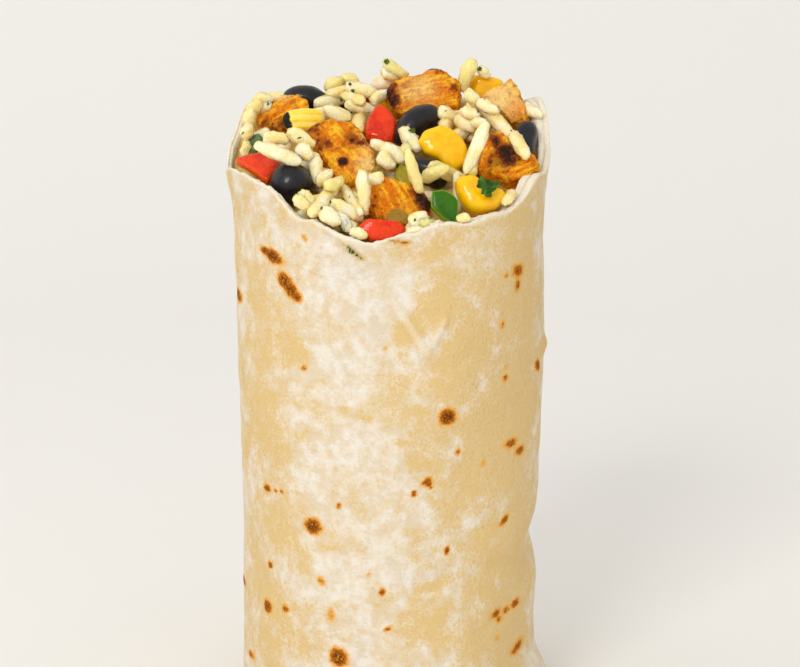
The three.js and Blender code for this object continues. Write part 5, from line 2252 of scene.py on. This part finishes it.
@dataclass
class RiceBed:
    """The heap of rice: its core, and grains that are dropped one by one and rest on what lies there."""

    sink: float = 2.7
    cell: float = 0.3
    half: int = 112
    drops: int = 900
    tries: int = 16
    grain_length: tuple[float, float] = (7.2, 10.4)
    grain_width: tuple[float, float] = (2.5, 3.1)
    columns: int = 120
    core_rings: int = 34
    steepest: float = 0.9
    reach: float = 31.0
    flecks_strewn: int = 40
    flecks_reach: float = 26.0
    toppings: Optional[BVHTree] = None
    grains: list[Grain] = field(default_factory=list)

    def core(self) -> Thing:
        """The mixture under the grains, down to the folded end.

        Returns:
            The core.
        """
        bearing = np.linspace(-180, 180, self.columns, endpoint=False)
        rim = ROLL.cavity(bearing, ROLL.lip(bearing) - 1) - 0.3
        level = 0.0 * bearing
        low = (6.4, 36.5, 64, 84)
        rings = [on_bearing(bearing, ROLL.cavity(bearing, level + z) - 0.3, level + z) for z in low]

        def top(share: float) -> Field:
            """A ring of the heap's surface.

            Args:
                share: How far out it is, as a share of the rim.

            Returns:
                The points of the ring.
            """
            ring = on_bearing(bearing, rim * share, level)
            ring[:, 2] = ROLL.heap(ring[:, 0], ring[:, 1]) - self.sink
            ring[:, 2] += 0.9 * fractal(ring, 2.6, 3, 5)
            return ring

        edge = top(1.0)
        for below in (9.0, 3.0):
            z = np.minimum(ROLL.lip(bearing), edge[:, 2]) - below
            rings.append(on_bearing(bearing, ROLL.cavity(bearing, z) - 0.3, z))
        rings += [top(share) for share in np.linspace(1, 1 / self.core_rings, self.core_rings)]
        cloud = np.concatenate([*rings, [[0, 0, 6.4], [0, 0, float(ROLL.heap(0, 0)) - self.sink]]])
        count = len(rings) * self.columns
        marks = {"tint": np.full(len(cloud), 0.5)}
        faces = ring_faces(len(rings), self.columns, count, count + 1)
        # The core takes darker tones than the grains. This is painted shade where it shows between them.
        tones = (colour(226, 200, 130), colour(206, 168, 88), colour(186, 156, 60))
        finish = RiceFinish("rice_core_finish", *tones)
        piece = make_object("rice_core", cloud, faces, finish.material(), marks)
        declare(piece, ["rice_filling"])
        return piece

    def grid_axes(self) -> Field:
        """Coordinates of the columns of the height map."""
        return np.arange(-self.half, self.half + 1) * self.cell

    def survey(self, toppings: BVHTree) -> None:
        """Makes the height map of the core, the toppings and the lip, and notes where no grain may lie.

        Args:
            toppings: Search tree of the pieces in the open top.
        """
        axis = self.grid_axes()
        x, y = np.meshgrid(axis, axis, indexing="ij")
        heap = ROLL.heap(x, y)
        self.toppings = toppings
        self.ground = heap - self.sink
        self.target = heap + 0.5
        self.covered = np.zeros(x.shape, bool)
        for i, j in np.argwhere(np.hypot(x, y) < ROLL.radius + 2):
            hit = from_above(toppings, axis[i], axis[j])[0]
            if hit is not None and hit.z > self.ground[i, j]:
                self.covered[i, j] = hit.z > self.ground[i, j] + 1.2
                self.ground[i, j] = hit.z
        bearing = np.degrees(np.arctan2(x, -y))
        lip = ROLL.lip(bearing)
        out = np.hypot(x, y)
        on_wall = out > ROLL.cavity(bearing, lip - 1) - 0.2
        self.ground = np.where(on_wall, np.maximum(self.ground, lip), self.ground)
        spill = ease(14, 6, np.abs(turn_between(-98, bearing)) - 22)
        self.blocked = out > np.where(spill > 0, 29.0, ROLL.cavity(bearing, lip - 1) + 0.6)
        self.target += 1.2 * spill * ease(22, 27, out)

    def look_up(self, x: Field, y: Field) -> tuple[Field, Field]:
        """Cell numbers of places.

        Args:
            x: How far to the right.
            y: How far to the back.

        Returns:
            The cells' numbers along X and along Y.
        """
        i = np.clip(np.rint(x / self.cell).astype(int) + self.half, 0, 2 * self.half)
        j = np.clip(np.rint(y / self.cell).astype(int) + self.half, 0, 2 * self.half)
        return i, j

    def resting(
        self, x: float, y: float, yaw: float, length: float, width: float
    ) -> Optional[tuple[float, float]]:
        """How a grain rests on the bed.

        Args:
            x: Place of its middle.
            y: Place of its middle.
            yaw: Its way, anticlockwise from +X in radians.
            length: Its length.
            width: Its width.

        Returns:
            The height of its underside's middle and its slope, or None where it may not lie.
        """
        t = np.linspace(-0.42, 0.42, 9) * length
        heights = np.full(len(t), -1e9)
        over = 0
        cos, sin = math.cos(yaw), math.sin(yaw)
        for aside in (-0.3 * width, 0.0, 0.3 * width):
            i, j = self.look_up(x + t * cos - aside * sin, y + t * sin + aside * cos)
            if self.blocked[i, j].any():
                return None
            heights = np.maximum(heights, self.ground[i, j])
            over += int(self.covered[i, j].sum())
        if over > 1:
            return None
        best, slope = heights[4], 0.0
        for a in range(4):
            for b in range(5, 9):
                lean = (heights[b] - heights[a]) / (t[b] - t[a])
                middle = heights[a] - lean * t[a]
                if middle >= best:
                    best, slope = middle, lean
        return (best, slope) if abs(slope) < self.steepest else None

    def hides(self, middle: Vector, along: Vector, length: float) -> bool:
        """Whether a grain hides a topping from the photograph's side.

        Args:
            middle: The grain's middle.
            along: Its way.
            length: Its length.

        Returns:
            True where two of three places along it have a topping close behind.
        """
        eye = VIEW.eye()
        hit = 0
        for share in (-0.36, 0.0, 0.36):
            place = middle + along * (share * length)
            away = (place - eye).normalized()
            hit += self.toppings.ray_cast(place - away * 1.2, away, 12.0)[0] is not None
        return hit > 1

    def lay(self, grain: Grain) -> None:
        """Raises the height map by a grain.

        Args:
            grain: A grain that has found its place.
        """
        radius = grain.width / 2
        flat = math.hypot(grain.along.x, grain.along.y)
        half = grain.length / 2 * flat + radius
        i0, j0 = self.look_up(np.float64(grain.middle.x - half), np.float64(grain.middle.y - half))
        i1, j1 = self.look_up(np.float64(grain.middle.x + half), np.float64(grain.middle.y + half))
        axis = self.grid_axes()
        near_x, near_y = axis[i0 : i1 + 1] - grain.middle.x, axis[j0 : j1 + 1] - grain.middle.y
        x, y = np.meshgrid(near_x, near_y, indexing="ij")
        ux, uy = grain.along.x / max(flat, 1e-6), grain.along.y / max(flat, 1e-6)
        along = x * ux + y * uy
        aside = np.abs(y * ux - x * uy)
        reach = grain.length / 2 * flat
        inside = (aside < radius) & (np.abs(along) < reach)
        rise = grain.middle.z + along * grain.along.z / max(flat, 1e-6)
        rise = rise + np.sqrt(np.maximum(0, radius**2 - aside**2))
        part = self.ground[i0 : i1 + 1, j0 : j1 + 1]
        part[inside] = np.maximum(part[inside], rise[inside])

    def drop_grains(self) -> None:
        """Drops grains where the bed is lowest until it is filled."""
        rng = np.random.default_rng(7)
        for _ in range(self.drops):
            reach = (ROLL.radius - ROLL.wall) * np.sqrt(rng.random(self.tries))
            angle = rng.random(self.tries) * 2 * math.pi
            xs, ys = reach * np.cos(angle), reach * np.sin(angle)
            i, j = self.look_up(xs, ys)
            want = self.target[i, j] - self.ground[i, j] - 10 * self.covered[i, j]
            k = int(np.argmax(want))
            if want[k] < 0.6:
                continue
            broken = rng.random() < 0.25
            length = rng.uniform(4.2, 6.2) if broken else rng.uniform(*self.grain_length)
            width = rng.uniform(*self.grain_width)
            best: Optional[tuple[float, float, float]] = None
            for yaw in rng.random(7) * math.pi:
                found = self.resting(xs[k], ys[k], yaw, length, width)
                if found and (best is None or found[0] < best[0]):
                    best = (found[0], found[1], yaw)
            if best is None or best[0] > self.target[i[k], j[k]] + 0.8:
                continue
            height, slope, yaw = best
            along = Vector((math.cos(yaw), math.sin(yaw), slope)).normalized()
            middle = Vector((xs[k], ys[k], height + width * 0.3))
            kind = int(rng.integers(3, 5)) if broken else int(rng.integers(0, 3))
            jut = abs(middle.to_2d().normalized() @ along.to_2d())
            past_lip = math.hypot(middle.x, middle.y) + length * 0.35 * jut > self.reach
            if past_lip or self.hides(middle, along, length):
                continue
            grain = Grain(middle, along, length, width * 1.08, kind, float(rng.random() ** 1.5))
            self.grains.append(grain)
            self.lay(grain)

    def surface_tree(self) -> BVHTree:
        """A search tree of the height map as it is now.

        Returns:
            The tree.
        """
        axis = self.grid_axes()
        n = len(axis)
        x, y = np.meshgrid(axis, axis, indexing="ij")
        points = np.stack([x, y, self.ground], axis=-1).reshape(-1, 3)
        open_cells = np.argwhere(np.hypot(x, y)[:-1, :-1] < ROLL.radius + 1)
        faces = [(i * n + j, (i + 1) * n + j, (i + 1) * n + j + 1, i * n + j + 1) for i, j in open_cells]
        return BVHTree.FromPolygons([Vector(p) for p in points], faces)

    def place_seen(self) -> None:
        """Lays the grains that the photograph shows on what is behind their two ends."""
        for seen in SEEN_GRAINS:
            tree = self.surface_tree()
            if seen.depth is None:
                ends = [VIEW.on_tree(tree, pixel)[0] for pixel in (seen.start, seen.end)]
            else:
                ends = [VIEW.at_depth(pixel, seen.depth) for pixel in (seen.start, seen.end)]
            if None in ends:
                log.info("no place for the grain at %s", seen.start)
                continue
            seen_length = math.dist(seen.start, seen.end) * PIXEL_SIZE
            if abs(ends[0].y - ends[1].y) > 1.1 * seen_length + 1.0:
                nearer = min(end.y for end in ends)
                ends = [VIEW.at_depth(pixel, nearer) for pixel in (seen.start, seen.end)]
            back = -VIEW.ray(seen.start)
            lift = (back + Vector((0, 0, 1))).normalized() * seen.width * 0.4
            a, b = (end + lift for end in ends)
            run = b - a
            grain = Grain((a + b) / 2, run.normalized(), run.length + 1.2, seen.width, seen.kind, seen.tint)
            self.grains.append(grain)
            self.lay(grain)

    def build(self, toppings: BVHTree) -> None:
        """Builds the core, the grains and the scraps of herb on them.

        Args:
            toppings: Search tree of the pieces in the open top.
        """
        self.core()
        self.survey(toppings)
        self.drop_grains()
        dropped = len(self.grains)
        self.place_seen()
        log.info("%d grains dropped, %d seen", dropped, len(self.grains) - dropped)
        rolls = np.random.default_rng(5).random(len(self.grains)) * 2 * math.pi
        places = np.array([tuple(g.middle) for g in self.grains])
        turns = np.array([g.euler(r) for g, r in zip(self.grains, rolls)])
        sizes = np.array([(g.length * 1.04, g.width * 1.1, g.width) for g in self.grains])
        kinds = np.array([g.kind for g in self.grains])
        tints = np.array([g.tint for g in self.grains])
        shapes = GrainShapes().collection()
        piece = Scatter("rice_grains", shapes, RiceFinish().material(), Slot.RICE)
        self.flecks(tree_of([piece.build(places, turns, sizes, kinds, tints)]))

    def flecks(self, grains: BVHTree) -> None:
        """Scraps of herb: those that the photograph shows, and more strewn all over the grains.

        Args:
            grains: Search tree of the grains.
        """
        rng = np.random.default_rng(31)
        spots: list[tuple[Vector, Vector, float]] = []
        for pixel, size in SEEN_FLECKS:
            hit, facing = VIEW.on_tree(grains, pixel)
            if hit is not None:
                spots.append((hit + facing * 0.08, facing, 1.35 * size))
        for pixel, size in WRAP_FLECKS:
            bearing, z = ROLL.seen_at(pixel)
            place = on_bearing(bearing, ROLL.outer(bearing, z, ROLL.wound(bearing, z)) + 0.1, z)
            spots.append((Vector(place), Vector((place[0], place[1], 0)).normalized(), size))
        for k in range(self.flecks_strewn):
            reach = self.flecks_reach * math.sqrt((k + 0.5) / self.flecks_strewn)
            x, y = reach * math.cos(k * GOLDEN_TURN), reach * math.sin(k * GOLDEN_TURN)
            hit, facing = from_above(grains, x, y)
            if hit is not None:
                spots.append((hit + facing * 0.08, facing, float(rng.uniform(0.4, 1.0))))
        places = np.array([tuple(place) for place, _, _ in spots])
        turns = []
        for _, facing, _ in spots:
            spin = Euler((0, 0, rng.uniform(0, 6.3))).to_quaternion()
            turns.append(tuple((facing.to_track_quat("Z", "Y") @ spin).to_euler("XYZ")))
        sizes = np.array([(s, s, s * 0.8) for _, _, s in spots])
        kinds = rng.integers(0, 3, len(spots))
        tints = rng.random(len(spots))
        finish = CHOPPED_HERB.material()
        scatter = Scatter("herb_flecks", FleckShapes().collection(), finish, Slot.HERB, 0.0)
        scatter.build(places, np.array(turns), sizes, kinds, tints)


# Floor and light


@dataclass
class Studio:
    """A pale floor that curves up behind, and soft light from the front and left."""

    tone: Colour = colour(240, 238, 234)
    key_power: float = 5.6
    fill_power: float = 1.0
    low_power: float = 0.07
    sky: float = 0.82

    def floor(self) -> None:
        """The floor and the backdrop, one smooth sheet."""
        start, bend = 0.34, 0.5
        profile = [(-9.0, 0.0), (start, 0.0)]
        for a in np.radians(np.linspace(6, 90, 15)):
            profile.append((start + bend * math.sin(a), bend * (1 - math.cos(a))))
        profile.append((start + bend, 2.6))
        points, faces = [], []
        for k, (y, z) in enumerate(profile):
            points += [(-9000, y / MM, z / MM), (9000, y / MM, z / MM)]
            if k:
                faces.append((2 * k - 2, 2 * k - 1, 2 * k + 1, 2 * k))
        material, bench = new_material("floor_finish")
        shader = Surface(roughness=0.9, specular=0.2).shader(bench)
        tone = bench.blend(bench.noise(bench.millimetres(), 300.0), self.tone, self.tone)
        bench.put(shader.inputs["Base Color"], tone)
        floor = make_object("floor", np.array(points), faces, material)

    def lamp(self, name: str, place: Point, aim: Point, size: float, power: float, tint: Colour) -> None:
        """Adds a soft square lamp.

        Args:
            name: Name of the lamp.
            place: Where it stands, in metres.
            aim: Where it points, in metres.
            size: Length of its side in metres.
            power: Power in watts.
            tint: Colour of its light.
        """
        data = bpy.data.lights.new(name, "AREA")
        data.energy = power
        data.size = size
        data.color = tint[:3]
        lamp = bpy.data.objects.new(name, data)
        lamp.location = place
        lamp.rotation_euler = (Vector(aim) - Vector(place)).to_track_quat("-Z", "Y").to_euler()
        bpy.context.scene.collection.objects.link(lamp)

    def build(self) -> None:
        """Adds the floor, the lamps and the even light of the room."""
        self.floor()
        middle = (0.0, 0.0, 0.08)
        white = (1.0, 0.985, 0.96, 1.0)
        self.lamp("key", (-0.42, -0.98, 0.78), middle, 0.4, self.key_power, white)
        self.lamp("fill", (-0.9, 0.1, 0.6), middle, 0.8, self.fill_power, white)
        self.lamp("low", (0.13, -0.32, 0.02), (0.0, 0.0, 0.11), 0.035, self.low_power, white)
        world = bpy.data.worlds.new("room")
        world.use_nodes = True
        back = world.node_tree.nodes["Background"]
        back.inputs["Color"].default_value = (1.0, 0.995, 0.985, 1.0)
        back.inputs["Strength"].default_value = self.sky
        bpy.context.scene.world = world
        bpy.context.scene.view_settings.view_transform = "Standard"


def main() -> None:
    """Builds the burrito and its surroundings."""
    logging.basicConfig(level=logging.INFO, format="%(name)s: %(message)s")
    VIEW.make_camera()
    Studio().build()
    Tortilla().build()
    toppings = [topping.build() for topping in all_toppings()]
    RiceBed().build(tree_of(toppings))


if __name__ == "__main__":
    main()
